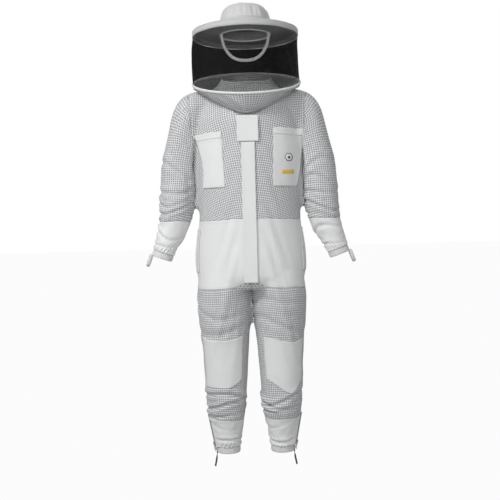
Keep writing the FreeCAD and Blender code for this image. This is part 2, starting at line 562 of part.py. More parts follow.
def veil(name, grow):
    """The drum between the hoop and the brim."""
    lift = hoop_turn.multVec(Vector(0, 0, val("binding_minor") + 0.5))
    foot = ellipse(name + "_foot", f"@hoop_radius + 0.01 + ({grow})", f"@hoop_radius + ({grow})", "0",
                   f"@hat_y + ({lift.y})", f"@hoop_level + ({lift.z})", hoop_turn)
    head = ellipse(name + "_head", f"@wire_radius + 1.01 + ({grow})", f"@wire_radius + 1 + ({grow})", "0",
                   "@hat_y", "@rim_foot_level - @piece_gap")
    return loft(name, [foot, head], ruled=True)


keep(cut("drum", veil("drum_out", "0"), veil("drum_in", "-@veil_thick")), "veil")


def funnel(name, grow):
    """The cloth skirt's cone, from the hoop in to the line where it zips to the suit."""
    sink = hoop_turn.multVec(Vector(0, 0, -val("binding_minor") - 0.5))
    head = ellipse(name + "_head", f"@hoop_radius + 0.01 + ({grow})", f"@hoop_radius + ({grow})", "0",
                   f"@hat_y + ({sink.y})", f"@hoop_level + ({sink.z})", hoop_turn)
    foot = ellipse(name + "_foot", f"@neck_half_wide + ({grow})", f"@neck_half_deep + ({grow})", "0", "@neck_y",
                   "@neck_level", neck_turn, deep_is_long=True)
    return loft(name, [foot, head], ruled=True)


def upper_figure(name, grow):
    """The suit's outside from the arms up, grown by an amount."""
    arm = sleeve(name + "_sleeve", grow)
    return fuse(name, torso(name + "_torso", grow), arm, mirror(name + "_sleeve_r", arm))


# the skirt stops just short of the shoulders, and the two halves of its zip follow that line
clear = upper_figure("clear_of_suit", "@body_gap")
cone = cut("cone", funnel("cone_out", "2"), funnel("cone_in", "2 - @skirt_thick"))
keep(cut("skirt", cone, clear), "hood_skirt")
outer_layer = cut("outer_layer", funnel("layer_out", "2 + @piece_gap + @hood_zip_thick"),
                  funnel("layer_in", "2 + @piece_gap"))
near_suit = upper_figure("near_suit", "@body_gap + @hood_zip_wide")
zip_strip = common("zip_strip", cut("outer_layer_clear", outer_layer, clear), near_suit)
keep(cut("hood_zip", zip_strip, outside), "hood_zip")
suit_layer = cut("suit_layer", upper_figure("neck_far", "@patch_gap + @neck_zip_thick"),
                 upper_figure("neck_near", "@patch_gap"))
inside_skirt = cut("inside_skirt", funnel("inside_out", "0 - @skirt_thick"),
                   funnel("inside_in", "0 - @skirt_thick - @neck_zip_wide"))
keep(common("neck_zip", suit_layer, inside_skirt), "neck_zip")

# hood zip sliders: the zip's two ends meet at the throat, and each slider starts there
start, middle, end = [Vector(val(f"hood_path_x_{c}"), val(f"hood_path_y_{c}"), val(f"hood_path_level_{c}"))
                      for c in "abc"]
path = Part.Arc(start, middle, end).toShape().Curve
along = (start - path.Center).cross(path.Axis).normalize()
along = -along if along.x < 0 else along
skirt_normal = Vector(0, -0.75, -0.66)
outward = (skirt_normal - along * skirt_normal.dot(along)).normalize()
hood_slider_turn = Rotation(outward, along.cross(outward), along, "ZXY")
half_slider = val("small_slider_gap") + val("small_slider_thick") / 2
hood_slider_place = Placement(start - outward * half_slider, hood_slider_turn)
print("hood zip path: centre", path.Center, "axis", path.Axis, "radius", path.Radius)
both_sides(zip_slider("hood_slider", hood_slider_place, 11, 35), "hood_zip_slider")

# chin strap: a soft strap from side to side of the sweatband, under the chin
OUT, THIN, LOW_HALF = "@chin_half_wide", "@chin_strap_thick", "@chin_low_half"
TOP, LOW = "@chin_top_level", "@chin_foot_level"
keep(body("chin_strap", "XZ_Plane", [
    (f"-{OUT}", TOP), (f"-{OUT} + {THIN}", TOP), (f"-{LOW_HALF} + {THIN}", f"{LOW} + {THIN}"),
    (f"{LOW_HALF} - {THIN}", f"{LOW} + {THIN}"), (f"{OUT} - {THIN}", TOP), (OUT, TOP), (LOW_HALF, LOW),
    (f"-{LOW_HALF}", LOW)],
    "@chin_strap_wide", place=Placement(Vector(0, val("chin_y"), 0), Rotation())), "chin_strap")

# hang loop: a short webbing bridge on the outside of the back
HALF_LONG, PROUD, WEB_THIN, BACK = "@hang_half_wide", "@hang_proud", "@hang_thick", "@hang_y"
keep(body("hang_loop", "XY_Plane", [
    (f"-{HALF_LONG}", BACK), (f"-{HALF_LONG}", f"{BACK} + {PROUD}"), (HALF_LONG, f"{BACK} + {PROUD}"),
    (HALF_LONG, BACK), (f"{HALF_LONG} - 9", BACK), (f"{HALF_LONG} - 9", f"{BACK} + {PROUD} - {WEB_THIN}"),
    (f"-{HALF_LONG} + 9", f"{BACK} + {PROUD} - {WEB_THIN}"), (f"-{HALF_LONG} + 9", BACK)], "@hang_wide",
    place=Placement(Vector(0, 0, val("hang_level")), Rotation())), "hang_loop")

# ---------------------------------------------------------------- recompute, test and write

doc.recompute()
bad = [o.Label for o in doc.Objects if any(s in ("Invalid", "Error") for s in o.State)]
assert not bad, f"these objects failed: {bad}"
os.makedirs("parts", exist_ok=True)
for obj in kept:
    shape = obj.Shape
    assert not shape.isNull() and shape.isValid() and shape.Solids, f"{obj.Label} has no valid solid"
    shape.exportStep(f"parts/{obj.Label}.step")
print(len(kept), "pieces")
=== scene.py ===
"""The looks of a beekeeping suit and its veiled hood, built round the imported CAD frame, in metres."""
import math

import bmesh
import bpy
import numpy as np
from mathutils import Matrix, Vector
from mathutils.bvhtree import BVHTree


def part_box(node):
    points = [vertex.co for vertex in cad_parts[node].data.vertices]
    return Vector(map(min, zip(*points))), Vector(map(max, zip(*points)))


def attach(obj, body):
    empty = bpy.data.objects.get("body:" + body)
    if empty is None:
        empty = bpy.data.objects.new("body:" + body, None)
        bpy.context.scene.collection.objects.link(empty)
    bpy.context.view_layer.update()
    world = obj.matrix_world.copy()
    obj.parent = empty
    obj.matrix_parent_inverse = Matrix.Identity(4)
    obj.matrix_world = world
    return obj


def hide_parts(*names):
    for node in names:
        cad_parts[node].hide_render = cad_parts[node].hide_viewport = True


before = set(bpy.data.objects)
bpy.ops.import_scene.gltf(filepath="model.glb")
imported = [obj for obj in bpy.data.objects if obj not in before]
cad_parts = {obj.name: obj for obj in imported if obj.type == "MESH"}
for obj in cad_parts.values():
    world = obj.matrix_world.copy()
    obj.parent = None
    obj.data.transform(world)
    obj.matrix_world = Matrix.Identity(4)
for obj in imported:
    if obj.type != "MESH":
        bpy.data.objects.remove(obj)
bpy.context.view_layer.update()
MM = 0.001
UP = Vector((0, 0, 1))

# ---------------- sizes, in millimetres where a row is a section

# level, half width, half depth, middle y of the trunk
TORSO = [
    (-765, 165, 98, -20), (-728, 200, 124, -16), (-690, 212, 136, -9), (-620, 212, 140, -5),
    (-510, 197, 130, -15), (-380, 195, 132, -13), (-250, 202, 137, -8), (-150, 204, 137, -8),
    (-128, 202, 136, -9), (-100, 195, 127, -8), (-55, 178, 114, -1), (-8, 132, 98, 5), (28, 98, 88, 1),
    (80, 88, 86, -2), (100, 87, 85, -2)]
# level, middle x, middle y, half width, half depth of a leg
LEG = [
    (-700, 104, -8, 96, 116), (-765, 107, -8, 103, 121), (-860, 107, -8, 102, 116), (-975, 105, -8, 92, 102),
    (-1060, 106, -7, 87, 95), (-1150, 108, -5, 81, 90), (-1230, 107, -3, 73, 80), (-1300, 106, 0, 61.5, 67),
    (-1345, 105, 0, 52.5, 57), (-1375, 105, 0, 47, 49), (-1400, 105, 0, 46, 47.5), (-1416, 105, 0, 46, 47.5)]
# middle x, middle y, level, lean in degrees, half width, half depth of a sleeve
SLEEVE = [
    (140, 0, -69, 90, 56, 64), (204, 0, -86, 60, 71, 81), (243, 0, -165, 22, 62, 82),
    (270, 0, -270, 5, 61, 74), (276, -3, -390, 2, 66, 72), (281, -8, -458, 10, 64, 69),
    (294, -15, -518, 20, 56, 61), (314, -23, -574, 20, 48, 51), (328, -27, -611, 20, 42.5, 44.5),
    (336, -27, -634, 20, 41, 42), (347, -27, -664, 20, 41, 42)]

NOTCH, NOTCH_HALF = -0.730, 0.055
WAIST, HIP_HEM, SHIN_SEAM, FOREARM_SEAM, ANKLE = -0.501, -0.757, -1.263, -0.498, -1.375
ZIP_FOOT, ZIP_TOP, ZIP_GAP = -0.690, -0.124, 0.007
WRIST = Vector((0.3315, -0.027, -0.621))
WRIST_LEAN = math.radians(20)
COLLAR_TILT = math.radians(20)
CLOTH = 0.0018
FLOOR = -1.5
HAT_Y = -0.010

# ---------------- mesh helpers


def mesh_of(name, verts, faces):
    mesh = bpy.data.meshes.new(name)
    mesh.from_pydata([tuple(v) for v in verts], [], [tuple(f) for f in faces])
    mesh.update()
    return mesh


def obj_of(name, mesh):
    obj = bpy.data.objects.new(name, mesh)
    bpy.context.scene.collection.objects.link(obj)
    return obj


def numbers(items, what, width=3, kind=float):
    """One property of all a mesh's points, faces or corners, as rows of width numbers."""
    flat = np.zeros(len(items) * width, kind)
    items.foreach_get(what, flat)
    return flat.reshape(-1, width) if width > 1 else flat


def coords(mesh):
    return numbers(mesh.vertices, "co")


def vertex_normals(mesh):
    return numbers(mesh.vertex_normals, "vector")


def run_length(points):
    """The length along a line of points, up to each of them."""
    return np.concatenate([[0], np.cumsum(np.linalg.norm(np.diff(points, axis=0), axis=1))])


def unit(rows, least=0.0):
    """Rows scaled to length one; least guards against a row of nothing."""
    return rows / np.maximum(np.linalg.norm(rows, axis=-1, keepdims=True), least)


def side_of(sign):
    return "left" if sign > 0 else "right"


def smooth(lo, hi, x):
    """0 below lo, 1 above hi, and an S between."""
    t = np.clip((x - lo) / (hi - lo), 0, 1)
    return t * t * (3 - 2 * t)


def applied(obj):
    """The object's mesh with its modifiers worked in, and the modifiers gone."""
    made = bpy.data.meshes.new_from_object(obj.evaluated_get(bpy.context.evaluated_depsgraph_get()))
    obj.modifiers.clear()
    obj.data = made
    return obj


def solid(obj, thick, levels=0, offset=-1.0):
    """Smooths a sheet and gives it thickness on its inner side."""
    if levels:
        mod = obj.modifiers.new("smooth", "SUBSURF")
        mod.levels = mod.render_levels = levels
    mod = obj.modifiers.new("thick", "SOLIDIFY")
    mod.thickness, mod.offset, mod.use_even_offset = thick, offset, False
    applied(obj)
    obj.data.shade_smooth()
    return obj


def uv_from(mesh, values):
    """Writes one pair of metric coordinates per face corner."""
    layer = mesh.uv_layers.new(name="metric")
    layer.data.foreach_set("uv", np.asarray(values, np.float32).ravel())


def corners(mesh):
    """The vertex of each face corner, and the face of each corner."""
    total = numbers(mesh.polygons, "loop_total", 1, np.int64)
    return numbers(mesh.loops, "vertex_index", 1, np.int64), np.repeat(np.arange(len(total)), total)


def grid(name, points, closed=False):
    """A sheet from rows of points, its face corners marked with the metric length along and across it."""
    rows = np.asarray(points, float)
    n, m = rows.shape[:2]
    faces, uvs = [], []
    across = np.zeros((n, m + 1))
    wide = np.concatenate([rows, rows[:, :1]], axis=1)
    across[:, 1:] = np.cumsum(np.linalg.norm(np.diff(wide, axis=1), axis=2), axis=1)
    middle = across.mean(axis=0)
    down = np.zeros((n, m + 1))
    down[1:] = np.cumsum(np.linalg.norm(np.diff(wide, axis=0), axis=2), axis=0)
    for i in range(n - 1):
        for j in range(m if closed else m - 1):
            k = (j + 1) % m
            faces.append((i * m + j, i * m + k, (i + 1) * m + k, (i + 1) * m + j))
            for a, b in ((i, j), (i, j + 1), (i + 1, j + 1), (i + 1, j)):
                uvs.append((middle[b], down[a, b]))
    mesh = mesh_of(name, rows.reshape(-1, 3), faces)
    uv_from(mesh, uvs)
    return obj_of(name, mesh)


def outward(obj):
    """Welds a closed sheet shut and turns its faces outward."""
    work_mesh = bmesh.new()
    work_mesh.from_mesh(obj.data)
    bmesh.ops.remove_doubles(work_mesh, verts=work_mesh.verts, dist=1e-6)
    bmesh.ops.recalc_face_normals(work_mesh, faces=work_mesh.faces)
    work_mesh.to_mesh(obj.data)
    work_mesh.free()
    obj.data.shade_smooth()
    return obj


def face_front(obj):
    """Turns a sheet's faces to the wearer's front."""
    if obj.data.polygons[0].normal.y > 0:
        obj.data.flip_normals()
    return obj


def finish_piece(obj, body, material, slot, *nodes):
    """Gives a piece its material, ties it to a body, and hides the CAD nodes that it stands for."""
    obj.data.materials.clear()
    obj.data.materials.append(material)
    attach(obj, body)
    if nodes:
        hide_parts(*nodes)
    return obj


def spline(points, count):
    """count points on a smooth line through the given ones, evenly spaced."""
    p = np.asarray(points, float)
    t = run_length(p)
    fine = np.linspace(0, t[-1], 400)
    tangent = np.gradient(p, t, axis=0)
    k = np.clip(np.searchsorted(t, fine, side="right") - 1, 0, len(t) - 2)
    h = (t[k + 1] - t[k])[:, None]
    x = ((fine - t[k])[:, None]) / h
    line = (2 * x ** 3 - 3 * x ** 2 + 1) * p[k] + (x ** 3 - 2 * x ** 2 + x) * h * tangent[k] \
        + (-2 * x ** 3 + 3 * x ** 2) * p[k + 1] + (x ** 3 - x ** 2) * h * tangent[k + 1]
    s = run_length(line)
    return np.stack([np.interp(np.linspace(0, s[-1], count), s, line[:, a]) for a in range(3)], axis=1)


def ribbon(name, path, side, wide, thick, across=5, crown=0.0):
    """A flat band along a path: side gives the direction across it at each point."""
    path, side = np.asarray(path, float), np.asarray(side, float)
    side = unit(side)
    tangent = unit(np.gradient(path, axis=0))
    normal = unit(np.cross(tangent, side * np.ones_like(path)))
    steps = np.linspace(-0.5, 0.5, across)
    rows = path[:, None] + steps[None, :, None] * wide * (side * np.ones_like(path))[:, None] \
        + normal[:, None] * (crown * (0.25 - steps ** 2) * 4)[None, :, None]
    obj = grid(name, rows)
    return solid(obj, thick, 0, 0.0)


# ---------------- materials


class Look:
    """A procedural material under construction: small helpers round one Principled shader."""

    def __init__(self, name, colour, rough, **sockets):
        self.material = bpy.data.materials.new(name)
        self.material.use_nodes = True
        self.tree = self.material.node_tree
        self.shader = self.tree.nodes["Principled BSDF"]
        self.set(self.shader, "Base Color", (*colour, 1))
        self.set(self.shader, "Roughness", rough)
        for socket, value in sockets.items():
            self.set(self.shader, socket.replace("_", " "), value)

    def set(self, node, socket, value):
        target = node.inputs[socket]
        if isinstance(value, bpy.types.NodeSocket):
            self.tree.links.new(value, target)
        else:
            target.default_value = value

    def math(self, op, a, b=0.0, c=0.0):
        node = self.tree.nodes.new("ShaderNodeMath")
        node.operation = op
        for i, value in enumerate((a, b, c)):
            self.set(node, i, value)
        return node.outputs[0]

    def step(self, value, lo, hi):
        node = self.tree.nodes.new("ShaderNodeMapRange")
        node.interpolation_type = "SMOOTHSTEP"
        self.set(node, "Value", value)
        self.set(node, "From Min", lo)
        self.set(node, "From Max", hi)
        return node.outputs["Result"]

    def metric(self):
        """The two coordinates along the cloth, in metres."""
        node = self.tree.nodes.new("ShaderNodeUVMap")
        node.uv_map = "metric"
        split = self.tree.nodes.new("ShaderNodeSeparateXYZ")
        self.tree.links.new(node.outputs["UV"], split.inputs[0])
        return split.outputs["X"], split.outputs["Y"]

    def place(self):
        """Object coordinates, which are the row frame, as three numbers."""
        node = self.tree.nodes.new("ShaderNodeTexCoord")
        split = self.tree.nodes.new("ShaderNodeSeparateXYZ")
        self.tree.links.new(node.outputs["Object"], split.inputs[0])
        return split.outputs

    def noise(self, scale, detail=3.0, rough=0.5):
        node = self.tree.nodes.new("ShaderNodeTexNoise")
        where = self.tree.nodes.new("ShaderNodeTexCoord")
        self.tree.links.new(where.outputs["Object"], node.inputs["Vector"])
        self.set(node, "Scale", scale)
        self.set(node, "Detail", detail)
        self.set(node, "Roughness", rough)
        return node.outputs[0]

    def mix(self, factor, a, b):
        node = self.tree.nodes.new("ShaderNodeMix")
        node.data_type = "RGBA"
        self.set(node, 0, factor)
        self.set(node, 6, a if isinstance(a, bpy.types.NodeSocket) else (*a, 1))
        self.set(node, 7, b if isinstance(b, bpy.types.NodeSocket) else (*b, 1))
        return node.outputs[2]

    def colour(self, socket):
        self.set(self.shader, "Base Color", socket)

    def bump(self, height, distance, strength=1.0):
        node = self.tree.nodes.new("ShaderNodeBump")
        self.set(node, "Height", height)
        self.set(node, "Distance", distance)
        self.set(node, "Strength", strength)
        if self.shader.inputs["Normal"].links:
            self.set(node, "Normal", self.shader.inputs["Normal"].links[0].from_socket)
        self.set(self.shader, "Normal", node.outputs[0])

    def waves(self, value, pitch):
        """A triangle wave, 0 to 0.5, along a coordinate."""
        return self.math("PINGPONG", self.math("MULTIPLY", value, 1 / pitch), 0.5)


def mesh_fabric(name, pitch=0.0083, yarn=(0.78, 0.785, 0.79), hole=(0.17, 0.172, 0.178)):
    """Three-layer ventilating mesh: a white net of square holes over a grey spacer layer."""
    look = Look(name, yarn, 0.82, Sheen_Weight=0.15)
    u, v = look.metric()
    gap = look.math("MULTIPLY", look.step(look.waves(u, pitch), 0.13, 0.23),
                    look.step(look.waves(v, pitch), 0.13, 0.23))
    spacer = look.mix(look.noise(900.0, 1.0), hole, tuple(2.3 * c for c in hole))
    ribs = look.math("ADD", look.waves(u, pitch / 6), look.waves(v, pitch / 6))
    cloudy = look.mix(look.noise(7.0), yarn, tuple(0.90 * c for c in yarn))
    look.colour(look.mix(gap, cloudy, spacer))
    look.bump(look.math("SUBTRACT", look.math("MULTIPLY", ribs, 0.12), gap), 0.0011, 0.8)
    look.bump(look.noise(28.0, 4.0), 0.0035, 0.35)
    return look.material


def plain_cloth(name, colour=(0.80, 0.80, 0.80), pitch=0.0009, crease=0.35):
    """Plain-woven poly-cotton with a faint crumple and a little greying."""
    look = Look(name, colour, 0.74, Sheen_Weight=0.2)
    u, v = look.metric()
    weave = look.math("MULTIPLY", look.waves(u, pitch), look.waves(v, pitch))
    tint = look.mix(look.noise(6.0), colour, tuple(0.91 * c for c in colour))
    look.colour(look.mix(look.math("MULTIPLY", weave, 0.5), tint, tuple(0.85 * c for c in colour)))
    look.bump(weave, 0.0003, 0.35)
    look.bump(look.noise(34.0, 5.0), 0.0030, crease)
    return look.material


def ribbed(name, colour, pitch, rough, along=True, sheen=0.2):
    """Narrow woven goods: elastic, webbing and zip tape, with ribs across or along them."""
    look = Look(name, colour, rough, Sheen_Weight=sheen)
    u, v = look.metric()
    rib = look.waves(v if along else u, pitch)
    cross = look.waves(look.math("ADD", u, v), pitch * 0.8)
    shade = look.math("ADD", rib, look.math("MULTIPLY", cross, 0.5))
    look.colour(look.mix(shade, tuple(0.7 * c for c in colour), colour))
    look.bump(look.math("ADD", rib, look.math("MULTIPLY", cross, 0.4)), 0.0007, 0.8)
    return look.material


def net(name, thread, pitch=0.0016):
    """Knotted black net: threads cross both ways, and what is between them is open."""
    look = Look(name, (0.004, 0.004, 0.0045), 0.7, Specular_IOR_Level=0.2)
    u, v = look.metric()
    slant = look.math("ADD", u, look.math("MULTIPLY", v, 0.55))
    other = look.math("SUBTRACT", u, look.math("MULTIPLY", v, 0.55))
    lines = [look.step(look.waves(value, pitch), thread, thread * 0.8) for value in (slant, other)]
    cover = look.math("MAXIMUM", lines[0], lines[1])
    look.set(look.shader, "Alpha", cover)
    look.bump(cover, 0.0003, 0.6)
    return look.material


def metal(name, colour=(0.46, 0.46, 0.47), rough=0.33):
    look = Look(name, colour, rough, Metallic=1.0)
    worn = look.noise(160.0, 4.0)
    look.colour(look.mix(worn, tuple(0.72 * c for c in colour), colour))
    look.set(look.shader, "Roughness", look.math("ADD", look.math("MULTIPLY", worn, 0.25), rough - 0.1))
    look.bump(look.noise(420.0, 2.0), 0.0002, 0.5)
    return look.material


WHITE_MESH = mesh_fabric("mesh_fabric")
PLAIN = plain_cloth("plain_cloth")
HAT_CLOTH = plain_cloth("hat_cloth", (0.58, 0.58, 0.58), crease=0.5)
BRIM_CLOTH = plain_cloth("brim_cloth", (0.55, 0.55, 0.555), crease=0.2)
THREAD = ribbed("thread", (0.70, 0.70, 0.70), 0.0005, 0.6)
ELASTIC = ribbed("elastic_white", (0.88, 0.88, 0.87), 0.0016, 0.7)
WEBBING = ribbed("webbing_black", (0.018, 0.018, 0.02), 0.0016, 0.65)
TAPE = ribbed("zip_tape_white", (0.74, 0.74, 0.74), 0.0011, 0.7)
TAPE_DARK = ribbed("zip_tape_dark", (0.05, 0.05, 0.055), 0.0011, 0.65)
COIL = metal("zip_metal", (0.55, 0.55, 0.56), 0.30)
WIRE = metal("spring_wire", (0.32, 0.32, 0.33), 0.38)
NET_FRONT = net("veil_net_front", 0.125)
NET_BACK = net("veil_net_back", 0.52)

# ---------------- the garment: shape, drape, tailoring


def cubic(rows, per):
    """Rows on a natural cubic spline through the given ones, no further apart than per."""
    r = np.array(rows, float)
    t = run_length(r[:, :3])
    n, h = len(t), np.diff(t)
    left, right = np.eye(n), np.zeros_like(r)
    for i in range(1, n - 1):
        left[i, i - 1:i + 2] = h[i - 1], 2 * (h[i - 1] + h[i]), h[i]
        right[i] = 3 * ((r[i + 1] - r[i]) / h[i] - (r[i] - r[i - 1]) / h[i - 1])
    c = np.linalg.solve(left, right)
    out = []
    for i in range(n - 1):
        b = (r[i + 1] - r[i]) / h[i] - h[i] * (2 * c[i] + c[i + 1]) / 3
        d = (c[i + 1] - c[i]) / (3 * h[i])
        steps = max(1, int(round(h[i] / per)))
        for x in h[i] * np.arange(steps) / steps:
            out.append(r[i] + b * x + c[i] * x * x + d * x ** 3)
    return np.array(out + [r[-1]])


def limb(kind, per=10):
    """Rows of middle x, y, z, lean in radians, half width and half depth, in metres."""
    if kind == "torso":
        rows = [(0, y, z, 0, w, d) for z, w, d, y in TORSO]
    elif kind == "leg":
        rows = [(x, y, z, 0, w, d) for z, x, y, w, d in LEG]
    else:
        rows = SLEEVE
    out = cubic(rows, per)
    out[:, [0, 1, 2, 4, 5]] *= MM
    out[:, 3] = np.radians(out[:, 3])
    return out


def tube(rows, grow=0.0, ring=72, side=1):
    """A closed tube round the rows: quads round it and a fan at each end."""
    turn = np.arange(ring) * 2 * math.pi / ring
    verts, faces = [], []
    for x, y, z, lean, w, d in rows:
        u, v = (w + grow) * np.cos(turn), (d + grow) * np.sin(turn)
        verts += list(zip(side * (x + u * math.cos(lean)), y + v, z + u * math.sin(lean)))
    for i in range(len(rows) - 1):
        for k in range(ring):
            a, b = i * ring + k, i * ring + (k + 1) % ring
            faces.append((a, b, b + ring, a + ring))
    for i in (0, len(rows) - 1):
        verts.append((side * rows[i][0], rows[i][1], rows[i][2]))
        faces += [(i * ring + k, len(verts) - 1, i * ring + (k + 1) % ring) for k in range(ring)]
    return verts, faces


def figure(name, grow=0.0):
    """One mesh per tube of the suit: the trunk, the legs and the sleeves."""
    made = []
    for kind, sides in (("torso", (1,)), ("leg", (1, -1)), ("sleeve", (1, -1))):
        for side in sides:
            mesh = mesh_of(name, *tube(limb(kind), grow, side=side))
            work = bmesh.new()
            work.from_mesh(mesh)
            bmesh.ops.recalc_face_normals(work, faces=work.faces)
            work.to_mesh(mesh)
            work.free()
            made.append(mesh)
    return made


def base_cloth(voxel=0.0095):
    """The tubes joined into one skin of even quads."""
    work = bmesh.new()
    for mesh in figure("cloth"):
        work.from_mesh(mesh)
    mesh = bpy.data.meshes.new("cloth")
    work.to_mesh(mesh)
    work.free()
    obj = obj_of("cloth", mesh)
    mod = obj.modifiers.new("skin", "REMESH")
    mod.mode, mod.voxel_size = "VOXEL", voxel
    applied(obj)
    mesh = obj.data
    bpy.data.objects.remove(obj)
    return mesh


def armhole_x(z):
    return np.interp(z, [-0.9, -0.52, -0.40, -0.258, 0.06], [0.226, 0.226, 0.205, 0.205, 0.228])


def along_arm(p):
    """How far points lie past the wrist's plane, measured down the forearm."""
    return (np.abs(p[..., 0]) - WRIST.x) * math.sin(WRIST_LEAN) - (p[..., 2] - WRIST.z) * math.cos(WRIST_LEAN)


def weights(p):
    """Where the cloth is held, and how much longer it is cut than the body under it."""
    x, y, z = np.abs(p[:, 0]), p[:, 1], p[:, 2]
    strip = (1 - smooth(0.034, 0.060, x)) * (y < -0.05) * smooth(-0.86, -0.80, z)
    neck = smooth(-0.10, -0.04, z - 0.35 * np.maximum(0, x - 0.10)) * (x < 0.2)
    cuff = smooth(-0.020, -0.004, along_arm(p)) * (x > 0.22)
    ankle = 1 - smooth(ANKLE + 0.004, ANKLE + 0.020, z)
    waist = 0.25 * np.exp(-((z - WAIST) / 0.012) ** 2) * (x < armhole_x(z))
    zip_side = (1 - smooth(0.016, 0.032, np.abs(y + 0.008))) * (x > 0.125) * (1 - smooth(-1.248, -1.225, z))
    held = np.maximum.reduce([strip, neck, cuff, ankle, waist, zip_side])
    arm = 0.40 + 0.60 * np.exp(-((z + 0.44) / 0.10) ** 2)
    trunk = 0.16 + 0.25 * np.exp(-((z + 0.47) / 0.06) ** 2)
    leg = 0.30 + 0.70 * np.exp(-((z + 1.20) / 0.11) ** 2) + 0.25 * np.exp(-((z + 0.86) / 0.06) ** 2)
    loose = np.where(x > armhole_x(z), arm, np.where(z < HIP_HEM, leg, trunk))
    return {"held": held, "loose": loose}


def draped(base, frames=32, spare=0.10, most=0.024):
    """How far each point moves when the cloth hangs on a plain hidden form, in a short cloth simulation."""
    rest = coords(base)
    cloth = obj_of("drape", base.copy())
    groups = weights(rest)
    for name, values in groups.items():
        group = cloth.vertex_groups.new(name=name)
        for i in np.nonzero(values > 0.001)[0]:
            group.add([int(i)], float(min(values[i], 1)), "REPLACE")
    ripple = 0.0014 * np.sin(rest[:, [2, 0, 1]] * 61.0 + rest[:, [1, 2, 0]] * 47.0)
    start = rest + ripple * (1 - np.minimum(groups["held"], 1))[:, None]
    cloth.data.vertices.foreach_set("co", start.ravel())
    forms = []
    for mesh in figure("form", -0.007):
        form = obj_of("form", mesh)
        form.modifiers.new("form", "COLLISION")
        form.collision.thickness_outer = 0.002
        form.collision.cloth_friction = 14
        forms.append(form)
    mod = cloth.modifiers.new("cloth", "CLOTH")
    rules, hits = mod.settings, mod.collision_settings
    rules.quality, rules.mass = 5, 0.28
    rules.tension_stiffness = rules.compression_stiffness = 18
    rules.shear_stiffness, rules.bending_stiffness = 6, 2.2
    rules.tension_damping = rules.compression_damping = 12
    rules.shear_damping, rules.bending_damping, rules.air_damping = 8, 1.5, 2.0
    rules.vertex_group_mass, rules.pin_stiffness = "held", 4
    rules.vertex_group_shrink, rules.shrink_min, rules.shrink_max = "loose", 0.0, -spare
    hits.collision_quality, hits.distance_min = 2, 0.002
    mod.point_cache.frame_start, mod.point_cache.frame_end = 1, frames
    scene = bpy.context.scene
    scene.frame_start, scene.frame_end = 1, frames
    for count in range(1, frames + 1):
        scene.frame_set(count)
    settled = bpy.data.meshes.new_from_object(cloth.evaluated_get(bpy.context.evaluated_depsgraph_get()))
    moved = coords(settled) - rest
    for obj in [*forms, cloth]:
        bpy.data.objects.remove(obj)
    scene.frame_set(1)
    long = np.linalg.norm(moved, axis=1)
    moved *= (most * np.tanh(long / most) / np.maximum(long, 1e-9))[:, None]
    edges = np.array([e.vertices[:] for e in base.edges])
    count = np.bincount(edges.ravel(), minlength=len(rest))[:, None]
    for _ in range(2):
        total = np.zeros_like(moved)
        np.add.at(total, edges[:, 0], moved[edges[:, 1]])
        np.add.at(total, edges[:, 1], moved[edges[:, 0]])
        moved = 0.4 * moved + 0.6 * total / count
    return moved


def cut(work, co, normal, among, clear=False, near=0.0022):
    """Cuts the faces that among() accepts along a plane, after points close to it are drawn onto it."""
    co, normal = Vector(co), Vector(normal).normalized()
    faces = [f for f in work.faces if among(f.calc_center_median())]
    # kept in order, because a set of mesh elements comes out differently on each run
    verts = list(dict.fromkeys(v for f in faces for v in f.verts))
    for v in verts:
        off = (v.co - co).dot(normal)
        if abs(off) < near:
            v.co -= normal * off
    edges = list(dict.fromkeys(e for f in faces for e in f.edges))
    bmesh.ops.bisect_plane(work, geom=[*verts, *edges, *faces], plane_co=co, plane_no=normal,
                           clear_outer=clear, dist=1e-5)


